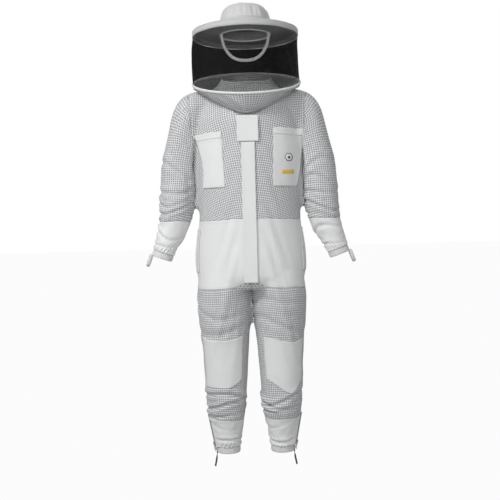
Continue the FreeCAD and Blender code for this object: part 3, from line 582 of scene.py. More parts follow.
def tailored(base, moved):
    """The skin cut along the suit's seams, opened at the neck, the zip, the wrists and the ankles."""
    work = bmesh.new()
    work.from_mesh(base)
    drape = work.verts.layers.float_vector.new("moved")
    for v, d in zip(work.verts, moved):
        v[drape] = Vector(d)
    for side in (1, -1):
        def on_arm(c):
            return side * c.x > armhole_x(c.z) and c.z > -0.72
        cut(work, (side * 0.228, 0, 0.06), (side * 0.318, 0, -0.023),
            lambda c: side * c.x > 0.15 and c.z > -0.30)
        cut(work, (0, 0, FOREARM_SEAM), UP, on_arm)
        tip = (side * math.sin(WRIST_LEAN), 0, -math.cos(WRIST_LEAN))
        cut(work, (side * WRIST.x, WRIST.y, WRIST.z), tip, on_arm, clear=True)
        cut(work, (side * ZIP_GAP, 0, 0), (side, 0, 0),
            lambda c: c.y < -0.05 and ZIP_FOOT - 0.01 < c.z < 0.02 and abs(c.x) < 0.03)
    for level in (ZIP_FOOT, ZIP_TOP):
        cut(work, (0, 0, level), UP, lambda c: abs(c.x) < 0.02 and c.y < -0.05)
    for level in (WAIST, HIP_HEM):
        cut(work, (0, 0, level), UP, lambda c: abs(c.x) < armhole_x(c.z) and c.z > -0.9)
    cut(work, (0, 0, 0), (1, 0, 0),
        lambda c: abs(c.x) < 0.02 and c.y < -0.03 and HIP_HEM - 0.02 < c.z < ZIP_FOOT)
    for side in (1, -1):
        cut(work, (0, 0, NOTCH), (side * (NOTCH - HIP_HEM), 0, NOTCH_HALF),
            lambda c: 0 < side * c.x < NOTCH_HALF and c.y < 0 and HIP_HEM < c.z < NOTCH + 0.01)
    cut(work, (0, 0, 0), UP, lambda c: abs(c.x) < 0.15 and c.z > -0.05)
    cut(work, (0, 0, SHIN_SEAM), UP, lambda c: c.z < -1.0)
    cut(work, (0, 0, ANKLE), -UP, lambda c: c.z < -1.0, clear=True)
    cut(work, (0, 0, 0), (0, 1, 0), lambda c: abs(c.x) < armhole_x(c.z) and c.z > SHIN_SEAM)
    cut(work, (0, -0.145, -0.012), (0, -math.sin(COLLAR_TILT), math.cos(COLLAR_TILT)),
        lambda c: abs(c.x) < 0.15 and c.z > -0.02, clear=True)
    open_front = [f for f in work.faces if abs(f.calc_center_median().x) < ZIP_GAP - 0.0005
                  and f.calc_center_median().y < -0.05 and ZIP_FOOT < f.calc_center_median().z < ZIP_TOP]
    bmesh.ops.delete(work, geom=open_front, context="FACES")
    bmesh.ops.delete(work, geom=[v for v in work.verts if not v.link_faces], context="VERTS")
    return work


def hip_hem(c):
    """The level of the hips' hem, which rises to a notch over the crotch."""
    return max(HIP_HEM, NOTCH - abs(c.x) * (NOTCH - HIP_HEM) / NOTCH_HALF) if c.y < 0 else HIP_HEM


def panel_at(c):
    """The CAD node whose cloth holds a point of the undraped skin."""
    side = "left" if c.x > 0 else "right"
    x = abs(c.x)
    if x > armhole_x(c.z) and c.z > -0.72:
        return ("sleeve_" if c.z > FOREARM_SEAM else "forearm_panel_") + side
    if c.z > 0 and x < 0.15:
        return "collar"
    if c.z > WAIST:
        if c.y > 0:
            return "back_panel"
        return "neck_placket" if x < ZIP_GAP and c.z > ZIP_TOP else "chest_panel_" + side
    if c.z > hip_hem(c):
        return "seat_panel" if c.y > 0 else "hip_panel_" + side
    if c.z > SHIN_SEAM:
        return ("leg_back_" if c.y > 0 else "leg_front_") + side
    return "shin_panel_" + side


def arc(turn, wide, deep):
    """Length along an ellipse, from its eccentric angle."""
    mean, spread = (wide ** 2 + deep ** 2) / 2, (wide ** 2 - deep ** 2) / 2
    size = np.sqrt(mean) * (1 - spread ** 2 / (16 * mean ** 2))
    return size * (turn - spread / (4 * mean) * np.sin(2 * turn))


def limb_place(kind, rest):
    """Each point's turn round its limb, its length along it, and the limb's half width and depth there."""
    rows = limb(kind, 6)
    x = np.abs(rest[:, 0]) if kind != "torso" else rest[:, 0]
    if kind == "sleeve":
        gap = np.hypot(x[:, None] - rows[None, :, 0], rest[:, 2, None] - rows[None, :, 2])
        k = np.argmin(gap, axis=1)
        span = run_length(rows[:, :3])
        dx, dz = x - rows[k, 0], rest[:, 2] - rows[k, 2]
        lean = rows[k, 3]
        across, down = dx * np.cos(lean) + dz * np.sin(lean), dx * np.sin(lean) - dz * np.cos(lean)
        length, mid_y, wide, deep = -(span[k] + down), rows[k, 1], rows[k, 4], rows[k, 5]
    else:
        order = np.argsort(rows[:, 2])
        at = [np.interp(rest[:, 2], rows[order, 2], rows[order, a]) for a in (0, 1, 4, 5)]
        mid_x, mid_y, wide, deep = at
        across, length = x - mid_x, rest[:, 2]
    turn = np.arctan2((rest[:, 1] - mid_y) / deep, across / wide)
    return turn, length, wide, deep


def metric_uv(mesh, kind, rest):
    """Marks the cloth with its length round and along the limb, so that a weave keeps its true size."""
    turn, length, wide, deep = limb_place(kind, rest)
    vert, face = corners(mesh)
    start = -math.pi / 2 if kind != "sleeve" else 0.0
    turn = (turn - start + math.pi) % (2 * math.pi) - math.pi
    first = np.searchsorted(face, np.arange(len(mesh.polygons)))
    about = turn[vert[first]][face]
    near = about + (turn[vert] - about + math.pi) % (2 * math.pi) - math.pi
    uv_from(mesh, np.stack([arc(near + start, wide[vert], deep[vert]), length[vert]], axis=1))


def even_steps(ends, wanted, count):
    """Values whose differences along the edges come closest to those wanted, by conjugate gradients."""
    a, b = ends.T

    def gathered(along):
        return np.bincount(b, along, count) - np.bincount(a, along, count)
    value = np.zeros(count)
    rest = gathered(wanted)
    aim = rest.copy()
    size = rest @ rest
    for _ in range(1500):
        if size < 1e-14:
            break
        pull = gathered(aim[b] - aim[a])
        step = size / (aim @ pull)
        value += step * aim
        rest -= step * pull
        fresh = rest @ rest
        aim = rest + aim * (fresh / size)
        size = fresh
    return value


def cut_flat(mesh, rest):
    """Lays a panel's pattern flat at true size, its grain plumb and on over the shoulder."""
    worn = coords(mesh)
    mesh.vertices.foreach_set("co", rest.ravel())
    mesh.update()
    normal = vertex_normals(mesh)
    mesh.vertices.foreach_set("co", worn.ravel())
    mesh.update()
    guide = np.array([0, -0.6 * np.sign(rest[:, 1].mean()), 1.0])
    grain = unit(guide - normal * (normal @ guide)[:, None], 1e-6)
    weft = np.cross(grain, normal)
    ends = np.array([e.vertices[:] for e in mesh.edges])
    run = rest[ends[:, 1]] - rest[ends[:, 0]]
    flat = [even_steps(ends, (run * (way[ends[:, 0]] + way[ends[:, 1]]) / 2).sum(axis=1), len(rest))
            for way in (weft, grain)]
    vert, _ = corners(mesh)
    uv_from(mesh, np.stack(flat, axis=1)[vert] + [rest[:, 0].mean(), rest[:, 2].mean()])


def gathers(rest, turn, kind):
    """How far the folds stand out where elastic draws the cloth in: cuffs and the back of the waist."""
    if kind == "torso":
        near = np.exp(-np.abs(rest[:, 2] - WAIST) / 0.022) * smooth(-0.02, 0.05, rest[:, 1])
        return 0.0022 * near * np.sin(46 * turn)
    depth = -along_arm(rest) if kind == "sleeve" else rest[:, 2] - ANKLE
    near = np.exp(-np.maximum(depth, 0) / 0.022) * smooth(-0.001, 0.004, depth)
    return 0.0024 * near * np.sin(20 * turn + 9 * depth / 0.05 + 0.7 * np.sin(3 * turn))


def creases(rest, turn, kind):
    """Deep folds across a limb where it bunches its cloth: below the knee, above the ankle, at the elbow."""
    if kind == "torso":
        return 0 * turn
    side = np.sign(rest[:, 0])
    z = rest[:, 2]
    if kind == "leg":
        places = ((-1.176, 0.020, 0.0052, 0.020, 0.9), (-1.206, 0.017, 0.0064, -0.016, 2.1),
                  (-1.238, 0.016, 0.0058, 0.012, 4.0), (-1.290, 0.022, 0.0030, -0.020, 5.2),
                  (-1.350, 0.016, 0.0034, 0.008, 0.4), (-0.830, 0.030, 0.0026, 0.030, 3.0),
                  (-0.905, 0.034, 0.0024, -0.026, 1.2))
    else:
        places = ((-0.300, 0.026, 0.0026, 0.030, 2.0), (-0.372, 0.022, 0.0036, -0.026, 0.7),
                  (-0.415, 0.018, 0.0048, 0.022, 3.4), (-0.455, 0.017, 0.0052, -0.018, 1.6),
                  (-0.486, 0.014, 0.0040, 0.014, 5.0), (-0.545, 0.020, 0.0028, 0.020, 2.6),
                  (-0.596, 0.013, 0.0030, -0.008, 4.4))
    out = 0 * turn
    for level, size, deep, slope, phase in places:
        bend = turn + phase * side
        drop = (z - level - slope * side * np.sin(bend) - 0.4 * slope * np.sin(2 * bend + 1)) / size
        reach = 0.55 + 0.45 * np.cos(turn + 1.6 + 0.5 * phase * side)
        out += deep * reach * (0.9 * np.exp(-((drop - 0.75) / 0.55) ** 2) - 1.25 * np.exp(-(drop / 0.33) ** 2)
                               + 0.7 * np.exp(-((drop + 0.75) / 0.55) ** 2))
    return out


def panel_mesh(name, faces, drape):
    """One panel's own mesh, draped, with the undraped place of each point kept as an attribute."""
    index, verts = {}, []
    for face in faces:
        for v in face.verts:
            if v not in index:
                index[v] = len(verts)
                verts.append(v)
    mesh = mesh_of(name, [v.co + v[drape] for v in verts], [[index[v] for v in f.verts] for f in faces])
    rest = mesh.attributes.new("rest", "FLOAT_VECTOR", "POINT")
    rest.data.foreach_set("vector", np.array([v.co for v in verts], np.float32).ravel())
    return mesh


def panel_kind(name):
    if name.startswith(("sleeve", "forearm")):
        return "sleeve"
    return "leg" if name.startswith(("leg", "shin")) else "torso"


def panel_piece(name, mesh):
    """A finished panel: smoothed, marked, gathered at its elastic, edges turned in, given thickness."""
    kind = panel_kind(name)
    obj = obj_of("cloth_" + name, mesh)
    flat_panel = name.startswith(("chest_panel", "back_panel"))
    if flat_panel:
        cut_flat(mesh, numbers(mesh.attributes["rest"].data, "vector"))
    levels = 2 if name.startswith(("shin", "forearm")) else 1
    mod = obj.modifiers.new("smooth", "SUBSURF")
    mod.levels = mod.render_levels = levels
    applied(obj)
    mesh = obj.data
    rest = numbers(mesh.attributes["rest"].data, "vector")
    if not flat_panel:
        metric_uv(mesh, kind, rest)
    turn = limb_place(kind, rest)[0]
    ends = np.array([e.vertices[:] for e in mesh.edges])
    edge_use = np.bincount(numbers(mesh.loops, "edge_index", 1, np.int64), minlength=len(mesh.edges))
    border = np.zeros(len(mesh.vertices))
    border[ends[edge_use == 1].ravel()] = 1
    out = gathers(rest, turn, kind) + creases(rest, turn, kind) - 0.0014 * border
    moved = coords(mesh) + vertex_normals(mesh) * out[:, None]
    if kind == "leg":
        # the ankle's zip is stiff: beside it the cloth keeps to the zip's line
        across = np.abs(moved[:, 1] + 0.008) / 0.034
        line = 0.1515 + 0.191 * (moved[:, 2] + 1.392) - 0.014 * across ** 2
        near = (across < 1) & (np.abs(moved[:, 0]) > 0.105) & (moved[:, 2] < -1.20)
        share = near * (1 - smooth(-1.262, -1.225, moved[:, 2])) * (1 - smooth(0.6, 1.0, across))
        moved[:, 0] += np.sign(moved[:, 0]) * share * np.maximum(line - np.abs(moved[:, 0]), 0)
    mesh.vertices.foreach_set("co", moved.ravel())
    mesh.attributes.remove(mesh.attributes["rest"])
    return solid(obj, CLOTH)


def outer_tree(objs):
    verts, faces = [], []
    for obj in objs:
        start = len(verts)
        verts += [v.co.copy() for v in obj.data.vertices]
        faces += [[start + i for i in p.vertices] for p in obj.data.polygons]
    return BVHTree.FromPolygons(verts, faces)


SHEETS = {}
MESH_PANELS = ("chest_panel", "back_panel", "neck_placket", "sleeve", "leg_front", "leg_back", "collar")
skin = base_cloth()
work = tailored(skin, draped(skin))
drape_layer = work.verts.layers.float_vector["moved"]
groups = {}
for face in work.faces:
    groups.setdefault(panel_at(face.calc_center_median()), []).append(face)
panels = {}
for name in sorted(groups):
    piece = panel_piece(name, panel_mesh(name, groups[name], drape_layer))
    look = (WHITE_MESH, "mesh_fabric") if name.startswith(MESH_PANELS) else (PLAIN, "plain_fabric")
    finish_piece(piece, "suit", *look, name)
    panels[name] = piece
SKIN = outer_tree(panels.values())
TRUNK = outer_tree([panels[name] for name in panels if panel_kind(name) != "sleeve"])

# ---------------- stitching


def stitches(name, lines, body="suit", long=0.0032, pitch=0.0046, wide=0.0009, tree=None, out=0.0004):
    """Rows of sewn thread along lines of (points, normals), laid on the cloth."""
    verts, faces = [], []
    for points, normals in lines:
        points, normals = np.asarray(points, float), np.asarray(normals, float)
        s = run_length(points)
        if s[-1] < pitch * 2:
            continue
        for start in np.arange(pitch / 2, s[-1] - long, pitch):
            ends = [np.array([np.interp(start + d, s, points[:, a]) for a in range(3)]) for d in (0, long)]
            normal = np.array([np.interp(start, s, normals[:, a]) for a in range(3)])
            if tree is not None:
                hit, found, _, _ = tree.find_nearest(Vector((ends[0] + ends[1]) / 2))
                shift = np.array(hit) - (ends[0] + ends[1]) / 2
                normal = np.array(found) if np.dot(found, normal) > 0 else normal
                ends = [e + shift for e in ends]
            normal = normal / max(np.linalg.norm(normal), 1e-9)
            run = ends[1] - ends[0]
            side = np.cross(run, normal)
            side *= wide / 2 / max(np.linalg.norm(side), 1e-9)
            middle = (ends[0] + ends[1]) / 2
            k = len(verts)
            top, low = normal * (out + wide * 0.6), normal * (out - wide * 0.8)
            verts += [ends[0] + low, middle + side + normal * out, middle + top, middle - side + normal * out,
                      ends[1] + low]
            faces += [(k, k + 1, k + 2), (k, k + 2, k + 3), (k + 4, k + 2, k + 1), (k + 4, k + 3, k + 2),
                      (k, k + 3, k + 1), (k + 4, k + 1, k + 3)]
    mesh = mesh_of(name, verts, faces)
    uv_from(mesh, np.zeros((len(mesh.loops), 2)))
    return finish_piece(obj_of(name, mesh), body, THREAD, "plain_fabric")


def chains(edges):
    """Runs of edges joined end to end, as lists of vertices."""
    near = {}
    for edge in edges:
        for v in edge.verts:
            near.setdefault(v, []).append(edge)
    left, out = set(edges), []
    starts = [v for v in near if len(near[v]) != 2] + list(near)
    for first in starts:
        while True:
            edge = next((e for e in near[first] if e in left), None)
            if edge is None:
                break
            run, here = [first], first
            while edge is not None:
                left.discard(edge)
                here = edge.other_vert(here)
                run.append(here)
                edge = None if len(near[here]) != 2 else next((e for e in near[here] if e in left), None)
            out.append(run)
    return out


def seam_lines(apart=0.0042):
    """The lines that lie to one side of each seam between two panels, on the draped cloth."""
    name_of = {face: name for name, faces in groups.items() for face in faces}
    seams = {}
    for edge in work.edges:
        names = sorted({name_of[f] for f in edge.link_faces})
        if len(names) == 2:
            seams.setdefault(tuple(names), []).append(edge)
        elif len(edge.link_faces) == 1 and abs(edge.verts[0].co.x) < 0.02 and edge.verts[0].co.y < -0.05:
            seams.setdefault((names[0], names[0]), []).append(edge)
    lines = []
    for names, edges in seams.items():
        home = names[1] if names[0].startswith(MESH_PANELS) else names[0]
        for run in chains(edges):
            points, normals = [], []
            for v in run:
                faces = [f for f in v.link_faces if name_of[f] == home]
                here = v.co + v[drape_layer]
                if not faces:
                    continue
                inside = sum((f.calc_center_median() for f in faces), Vector()) / len(faces) - v.co
                normal = sum((f.normal for f in faces), Vector()).normalized()
                points.append((here, inside - normal * inside.dot(normal)))
                normals.append(normal)
            if len(points) < 3:
                continue
            base = np.array([p for p, _ in points])
            inward = np.array([d for _, d in points])
            run_dir = unit(np.gradient(base, axis=0), 1e-9)
            inward = unit(inward - run_dir * (inward * run_dir).sum(axis=1, keepdims=True), 1e-9)
            for far in (apart, apart + 0.006):
                lines.append((base + inward * far, np.array(normals)))
    return lines


stitches("seam_stitching", seam_lines(), tree=SKIN)

# ---------------- patches and pockets, pressed onto the drape


def pressed(starts, toward, relax=4):
    """Where rays meet the draped cloth, evened out so that a stiffer patch bridges the small folds."""
    starts, toward = np.asarray(starts, float), np.asarray(toward, float)
    toward = unit(toward)
    depth = np.zeros(starts.shape[:2])
    for i in range(depth.shape[0]):
        for j in range(depth.shape[1]):
            hit = TRUNK.ray_cast(Vector(starts[i, j]), Vector(toward[i, j]))
            depth[i, j] = hit[3] if hit[0] is not None else np.nan
    for row in depth:
        seen = ~np.isnan(row)
        if seen.any():
            row[:] = np.interp(np.arange(len(row)), np.flatnonzero(seen), row[seen])
    depth[np.isnan(depth)] = np.nanmedian(depth)
    true = depth.copy()
    for _ in range(relax):
        pad = np.pad(depth, 1, mode="edge")
        depth = np.minimum(true, (pad[:-2, 1:-1] + pad[2:, 1:-1] + pad[1:-1, :-2] + pad[1:-1, 2:]) / 4)
    return starts, toward, depth


def patch(name, starts, toward, rise, thick=0.0016, relax=4):
    """A sheet laid on the cloth: rise is how far its outer side stands off, as a grid or a number."""
    starts, toward, depth = pressed(starts, toward, relax)
    points = starts + toward * (depth - rise - thick)[..., None]
    obj = grid(name, points)
    normal = obj.data.polygons[len(obj.data.polygons) // 2].normal
    if normal.dot(Vector(toward[len(toward) // 2, toward.shape[1] // 2])) > 0:
        obj.data.flip_normals()
    return solid(obj, thick, 1), points, -toward


def inset_lines(points, normals, insets):
    """Closed stitch lines a few grid steps inside a patch's edge; insets are in metres."""
    lines = []
    for inset in insets:
        n, m = points.shape[:2]
        tall = np.linalg.norm(points[-1, m // 2] - points[0, m // 2])
        wide = np.linalg.norm(points[n // 2, -1] - points[n // 2, 0])
        a, b = inset / tall * (n - 1), inset / wide * (m - 1)
        far_a, far_b = n - 1 - a, m - 1 - b
        ring = [(i, b) for i in np.linspace(a, far_a, n)] + [(far_a, j) for j in np.linspace(b, far_b, m)]
        ring += [(i, far_b) for i in np.linspace(far_a, a, n)] + [(a, j) for j in np.linspace(far_b, b, m)]
        line, facing = [], []
        for i, j in ring:
            i0, j0 = min(int(i), n - 2), min(int(j), m - 2)
            fi, fj = i - i0, j - j0
            spot = [points[i0 + p, j0 + q] * (fi if p else 1 - fi) * (fj if q else 1 - fj)
                    for p in (0, 1) for q in (0, 1)]
            line.append(sum(spot))
            facing.append(normals[i0, j0])
        lines.append((line, facing))
    return lines


def straight_on(xs, zs, y=-0.45):
    """Rays from in front, straight back."""
    starts = [[(x, y, z) for x in (xs(z) if callable(xs) else xs)] for z in zs]
    return np.array(starts), np.zeros((len(zs), len(starts[0]), 3)) + [0, 1, 0]


def round_on(middle, turns, zs, reach=0.4):
    """Rays from around a limb toward its middle; middle(z) is x and y there."""
    starts, toward = [], []
    for z in zs:
        x, y = middle(z)
        row = turns(z) if callable(turns) else turns
        starts.append([(x + reach * math.cos(t), y + reach * math.sin(t), z) for t in row])
        toward.append([(-math.cos(t), -math.sin(t), 0) for t in row])
    return np.array(starts), np.array(toward)


stitch_rows = []
PATCH_INSETS = (0.0030, 0.0085)


def sewn_on(name, side, starts, toward, rise, relax=4, mouth=None):
    """A pocket or patch with its stitch rows; mouth is the grid row stitched below a pocket's hem."""
    piece, points, normals = patch(f"{name}_cloth_{side}", starts, toward, rise, relax=relax)
    finish_piece(piece, "suit", PLAIN, "plain_fabric", f"{name}_{side}")
    SHEETS[piece] = "stretched"
    rows = inset_lines(points + normals * 0.0002, normals, PATCH_INSETS)
    if mouth is not None:
        rows.append((points[mouth] + normals[mouth] * 0.0006, normals[mouth]))
    stitch_rows.extend(rows)
    return piece, points, normals


for sign in (1, -1):
    side = side_of(sign)

    # chest pocket: top 105 mm, foot 86 mm, its outer side curving in
    def pocket_xs(z, sign=sign):
        t = (z + 0.384) / 0.217
        if sign > 0:
            return np.linspace(0.090 + 0.006 * t, 0.177 + 0.034 * max(t, 0) ** 0.6, 15)
        return -np.linspace(0.088 + 0.010 * t, 0.176 - 0.051 * t + 0.116 * t ** 2 - 0.034 * t ** 3, 15)
    levels = np.linspace(-0.167 if sign > 0 else -0.178, -0.384, 26)
    starts, toward = straight_on(pocket_xs, levels)
    dip = 0.006 * np.linspace(0, 1, 15)[None, :] ** 1.5 * np.linspace(1, 0, 26)[:, None]
    starts[..., 2] -= dip if sign < 0 else 0.5 * dip
    v, u = np.meshgrid(np.linspace(0, 1, 26), np.linspace(0, 1, 15), indexing="ij")
    belly = 0.0008 + 0.0026 * np.sin(math.pi * u) ** 0.7 * (1 - v) ** 0.5 + 0.0012 * np.sin(math.pi * u) * v
    pocket, points, normals = sewn_on("chest_pocket", side, starts, toward, belly, mouth=4)
    if sign > 0:
        breast = outer_tree([pocket])
    hem = face_front(grid("chest_pocket_hem_" + side, (points + normals * 0.0004)[:4]))
    finish_piece(solid(hem, 0.0005, 1), "suit", PLAIN, "plain_fabric")

    # hip pocket, on the side of the hips
    turns = np.linspace(math.radians(-15), math.radians(36), 20)
    turns = turns if sign > 0 else math.pi - turns
    starts, toward = round_on(lambda z: (0, -0.005), turns, np.linspace(-0.536, -0.700, 20))
    v, u = np.meshgrid(np.linspace(0, 1, 20), np.linspace(0, 1, 20), indexing="ij")
    belly = 0.0003 + 0.0014 * np.sin(math.pi * u) ** 0.8 * (1 - v) ** 0.6
    sewn_on("hip_pocket", side, starts, toward, belly, mouth=3)

    # knee patch: its top sags, and its foot is rounded on one leg and pointed on the other
    across = -math.pi / 2 + sign * np.radians(np.linspace(-40, 60, 24))
    starts, toward = round_on(lambda z: (sign * 0.106, -0.007), across, np.zeros(26))
    u, v = np.linspace(0, 1, 24)[None, :], np.linspace(0, 1, 26)[:, None]
    if sign > 0:
        top = -0.946 - 0.010 * u - 0.014 * np.sin(math.pi * u ** 1.6)
        foot = -1.107 - 0.057 * smooth(-0.08, 0.66, u) ** 1.1 + 0.048 * smooth(0.60, 1.08, u)
    else:
        top = -0.941 - 0.003 * u - 0.013 * np.sin(math.pi * u)
        foot = -1.136 + 0.032 * (1 - u / 0.34).clip(0, 1) ** 1.6
    starts[..., 2] = top * (1 - v) + foot * v
    sewn_on("knee_patch", side, starts, toward, 0.0006, relax=3)
stitches("patch_stitching", stitch_rows, out=0.0005)

# ---------------- storm flap, its sewn margin, and the throat tab


def front_strip(name, x0, x1, z0, z1, y, body, node, wave, held):
    """A hanging strip of cloth down the front, with turned edges and two stitch rows."""
    cols, rows = max(8, int((x1 - x0) / 0.004)), max(12, int((z1 - z0) / 0.008))
    x, z = np.meshgrid(np.linspace(x0, x1, cols), np.linspace(z1, z0, rows))
    u = (x - x0) / (x1 - x0)
    ripple = wave * (0.6 * np.sin(z * 31 + 1.3) * np.sin(math.pi * u) + 0.5 * np.sin(z * 57 + 4 * u))
    swell = -0.0006 * np.exp(-((u - 0.06) / 0.05) ** 2) - 0.0006 * np.exp(-((u - 0.94) / 0.05) ** 2)
    points = np.stack([x + 0.3 * wave * np.sin(z * 19), y + ripple + swell, z], axis=2)
    obj = solid(face_front(grid(name, points)), 0.0017, 1)
    finish_piece(obj, body, PLAIN, "plain_fabric", node)
    SHEETS[obj] = held
    normals = np.zeros_like(points) - [0, 1, 0]
    stitches(name + "_stitching", inset_lines(points, normals, (0.0032, 0.0090)), body, out=0.0001)
    return obj


for node, wave in (("storm_flap", 0.0009), ("throat_tab", 0.0006)):
    lo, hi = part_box(node)
    front_strip(node + "_cloth", lo.x, hi.x, lo.z, hi.z, lo.y + 0.0002, node, node, wave, "hung")
margin_lo, margin_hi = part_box("flap_margin")
margin_xs, margin_zs = np.linspace(margin_lo.x, margin_hi.x, 5), np.linspace(margin_hi.z, margin_lo.z, 60)
margin = grid("flap_margin_cloth", [[(x, margin_lo.y + 0.0001, z) for x in margin_xs] for z in margin_zs])
finish_piece(solid(margin, 0.001, 0, 0.0), "suit", PLAIN, "plain_fabric", "flap_margin")

# ---------------- cuffs, loops, straps


def local_ring(middle, lean, turn, sign):
    """A point on a ring round a leaning limb: (radius, how far down) to the row frame."""
    across = np.array([sign * math.cos(lean), 0, math.sin(lean)])
    down = np.array([sign * math.sin(lean), 0, -math.cos(lean)])
    radial = math.cos(turn) * across + math.sin(turn) * np.array([0, 1, 0])
    return lambda r, s: np.array(middle) + radial * r + down * s


def gathered_cuff(name, middle, lean, sign, bore, outer, long, folds, node):
    """A cuff drawn in by its elastic: a tube whose outer side is puckered into small even folds."""
    ring, steps = folds * 8, 12
    outside, inside = [], []
    for i in range(steps + 1):
        s = long * i / steps
        soft = math.sin(math.pi * i / steps) ** 0.5 if 0 < i < steps else 0.0
        outer_row, inner_row = [], []
        for k in range(ring):
            turn = 2 * math.pi * k / ring
            spot = local_ring(middle, lean, turn, sign)
            pucker = 0.5 + 0.5 * math.sin(folds * turn + 1.4 * math.sin(3 * turn) + 0.5 * s / long)
            channel = 0.5 + 0.5 * math.cos(2 * math.pi * 3 * s / long)
            swell = 0.50 + 0.50 * soft * (0.35 + 0.65 * pucker * (0.55 + 0.45 * channel))
            r = bore + (outer - bore) * swell
            outer_row.append(spot(r, s))
            inner_row.append(spot(bore + 0.0003, s))
        outside.append(outer_row)
        inside.append(inner_row)
    rows = outside + inside[::-1] + outside[:1]
    obj = grid(name, rows, closed=True)
    return finish_piece(outward(obj), "suit", ELASTIC, "elastic", node)


for sign in (1, -1):
    side = side_of(sign)
    for end, middle, lean, sizes in (
            ("wrist", (sign * WRIST.x, WRIST.y, WRIST.z), WRIST_LEAN, (0.0365, 0.0409, 0.024, 34)),
            ("ankle", (sign * 0.105, 0, ANKLE), 0.0, (0.0425, 0.0464, 0.025, 38))):
        gathered_cuff(f"{end}_cuff_gathers_{side}", middle, lean, sign, *sizes, f"{end}_cuff_{side}")
    # the thumb loop leaves the cuff's hem, goes round the thumb and comes back
    lean = WRIST_LEAN
    root = np.array([sign * (WRIST.x + 0.0418 * math.cos(lean) + 0.0246 * math.sin(lean)), WRIST.y,
                     WRIST.z + 0.0418 * math.sin(lean) - 0.0246 * math.cos(lean)])
    aim = np.array([sign * math.sin(lean), 0, -math.cos(lean)])
    depth = np.array([0, 1.0, 0])
    path = [root + depth * y + aim * s for y, s in (
        (-0.0172, -0.002), (-0.0176, 0.014), (-0.0168, 0.029), (-0.0115, 0.041), (0, 0.0452), (0.0115, 0.041),
        (0.0168, 0.029), (0.0176, 0.014), (0.0172, -0.002))]
    across = np.cross(aim, depth)
    loop = ribbon("thumb_loop_strap_" + side, spline(path, 60), across, 0.0118, 0.0013, 5, 0.0006)
    finish_piece(loop, "thumb_loop_" + side, ELASTIC, "elastic", "thumb_loop_" + side)
    # the ankle strap hangs from its sewn patch, which a box of stitches holds on
    turn = math.radians(20) if sign > 0 else math.radians(160)
    radial = np.array([math.cos(turn), math.sin(turn), 0])
    across = np.array([-math.sin(turn), math.cos(turn), 0])
    middle = np.array([sign * 0.105, 0, 0])
    for name, body, z0, z1, far, nodes in (
            ("ankle_strap_webbing_", "ankle_strap_" + side, -1.4008, -1.4640, 0.0474, "ankle_strap_" + side),
            ("ankle_strap_patch_", "suit", -1.378, -1.4004, 0.0474, None)):
        hangs = name.startswith("ankle_strap_webbing")
        share = np.linspace(0, 1, 25)
        twist = np.radians(42) * smooth(0, 0.5, share)[:, None] * hangs
        path = [middle + radial * (far + 0.011 * hangs * s ** 1.4) + UP * (z0 + (z1 - z0) * s) for s in share]
        facing = across * np.cos(twist) + radial * np.sin(twist) * sign
        band = ribbon(name + side, path, facing, 0.0145, 0.0015, 7)
        finish_piece(band, body, WEBBING, "black_webbing", *([nodes] if nodes else []))
    box_line = [middle + radial * 0.0483 + across * x + UP * z for x, z in (
        (-0.005, -1.381), (0.005, -1.381), (0.005, -1.397), (-0.005, -1.397), (-0.005, -1.381))]
    stitches("ankle_strap_stitching_" + side, [(box_line, [radial] * 5)], pitch=0.0030, long=0.0021)

hang_lo, hang_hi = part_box("hang_loop")
reach, stand = (hang_hi.x - hang_lo.x) / 2, hang_hi.y - hang_lo.y


def behind(x, z, off):
    """The point of the back's cloth straight ahead of a place behind it, lifted off it."""
    hit = TRUNK.ray_cast(Vector((x, 0.5, z)), Vector((0, -1, 0)))[0]
    return x, (hit.y if hit else hang_lo.y) + off, z


HANG_RISE = ((0.002 - reach, -0.038, 0.0002), (0.009 - reach, -0.038, 0.22 * stand),
             (-reach / 2, -0.039, 0.80 * stand))
path = [behind(x, z, off) for x, z, off in HANG_RISE] + [behind(0, -0.040, stand)]
path += [behind(-x, z, off) for x, z, off in HANG_RISE[::-1]]
hang = ribbon("hang_loop_strap", spline(path, 50), UP, 0.0088, 0.0015, 5)
finish_piece(hang, "suit", ribbed("hang_webbing", (0.72, 0.72, 0.72), 0.0012, 0.7), "elastic", "hang_loop")

# ---------------- zip teeth


def teeth(name, centres, run, out, pitch_long=0.0016, wide=0.0030, high=0.0011, body="suit"):
    """A row of small rounded zip teeth."""
    verts, faces = [], []
    for c, r, o in zip(centres, run, out):
        c, r, o = np.array(c, float), np.array(r, float), np.array(o, float)
        r, o = r / np.linalg.norm(r), o / np.linalg.norm(o)
        side = np.cross(r, o)
        k = len(verts)
        for a, b, h in ((-1, -1, 0), (1, -1, 0), (1, 1, 0), (-1, 1, 0), (-0.7, -0.5, 1), (0.7, -0.5, 1),
                        (0.7, 0.5, 1), (-0.7, 0.5, 1)):
            verts.append(c + side * a * wide / 2 + r * b * pitch_long / 2 + o * h * high)
        faces += [(k + 3, k + 2, k + 1, k), (k + 4, k + 5, k + 6, k + 7)]
        faces += [(k + i, k + (i + 1) % 4, k + 4 + (i + 1) % 4, k + 4 + i) for i in range(4)]
    mesh = mesh_of(name, verts, faces)
    uv_from(mesh, np.zeros((len(mesh.loops), 2)))
    return finish_piece(obj_of(name, mesh), body, COIL, "zip_metal")


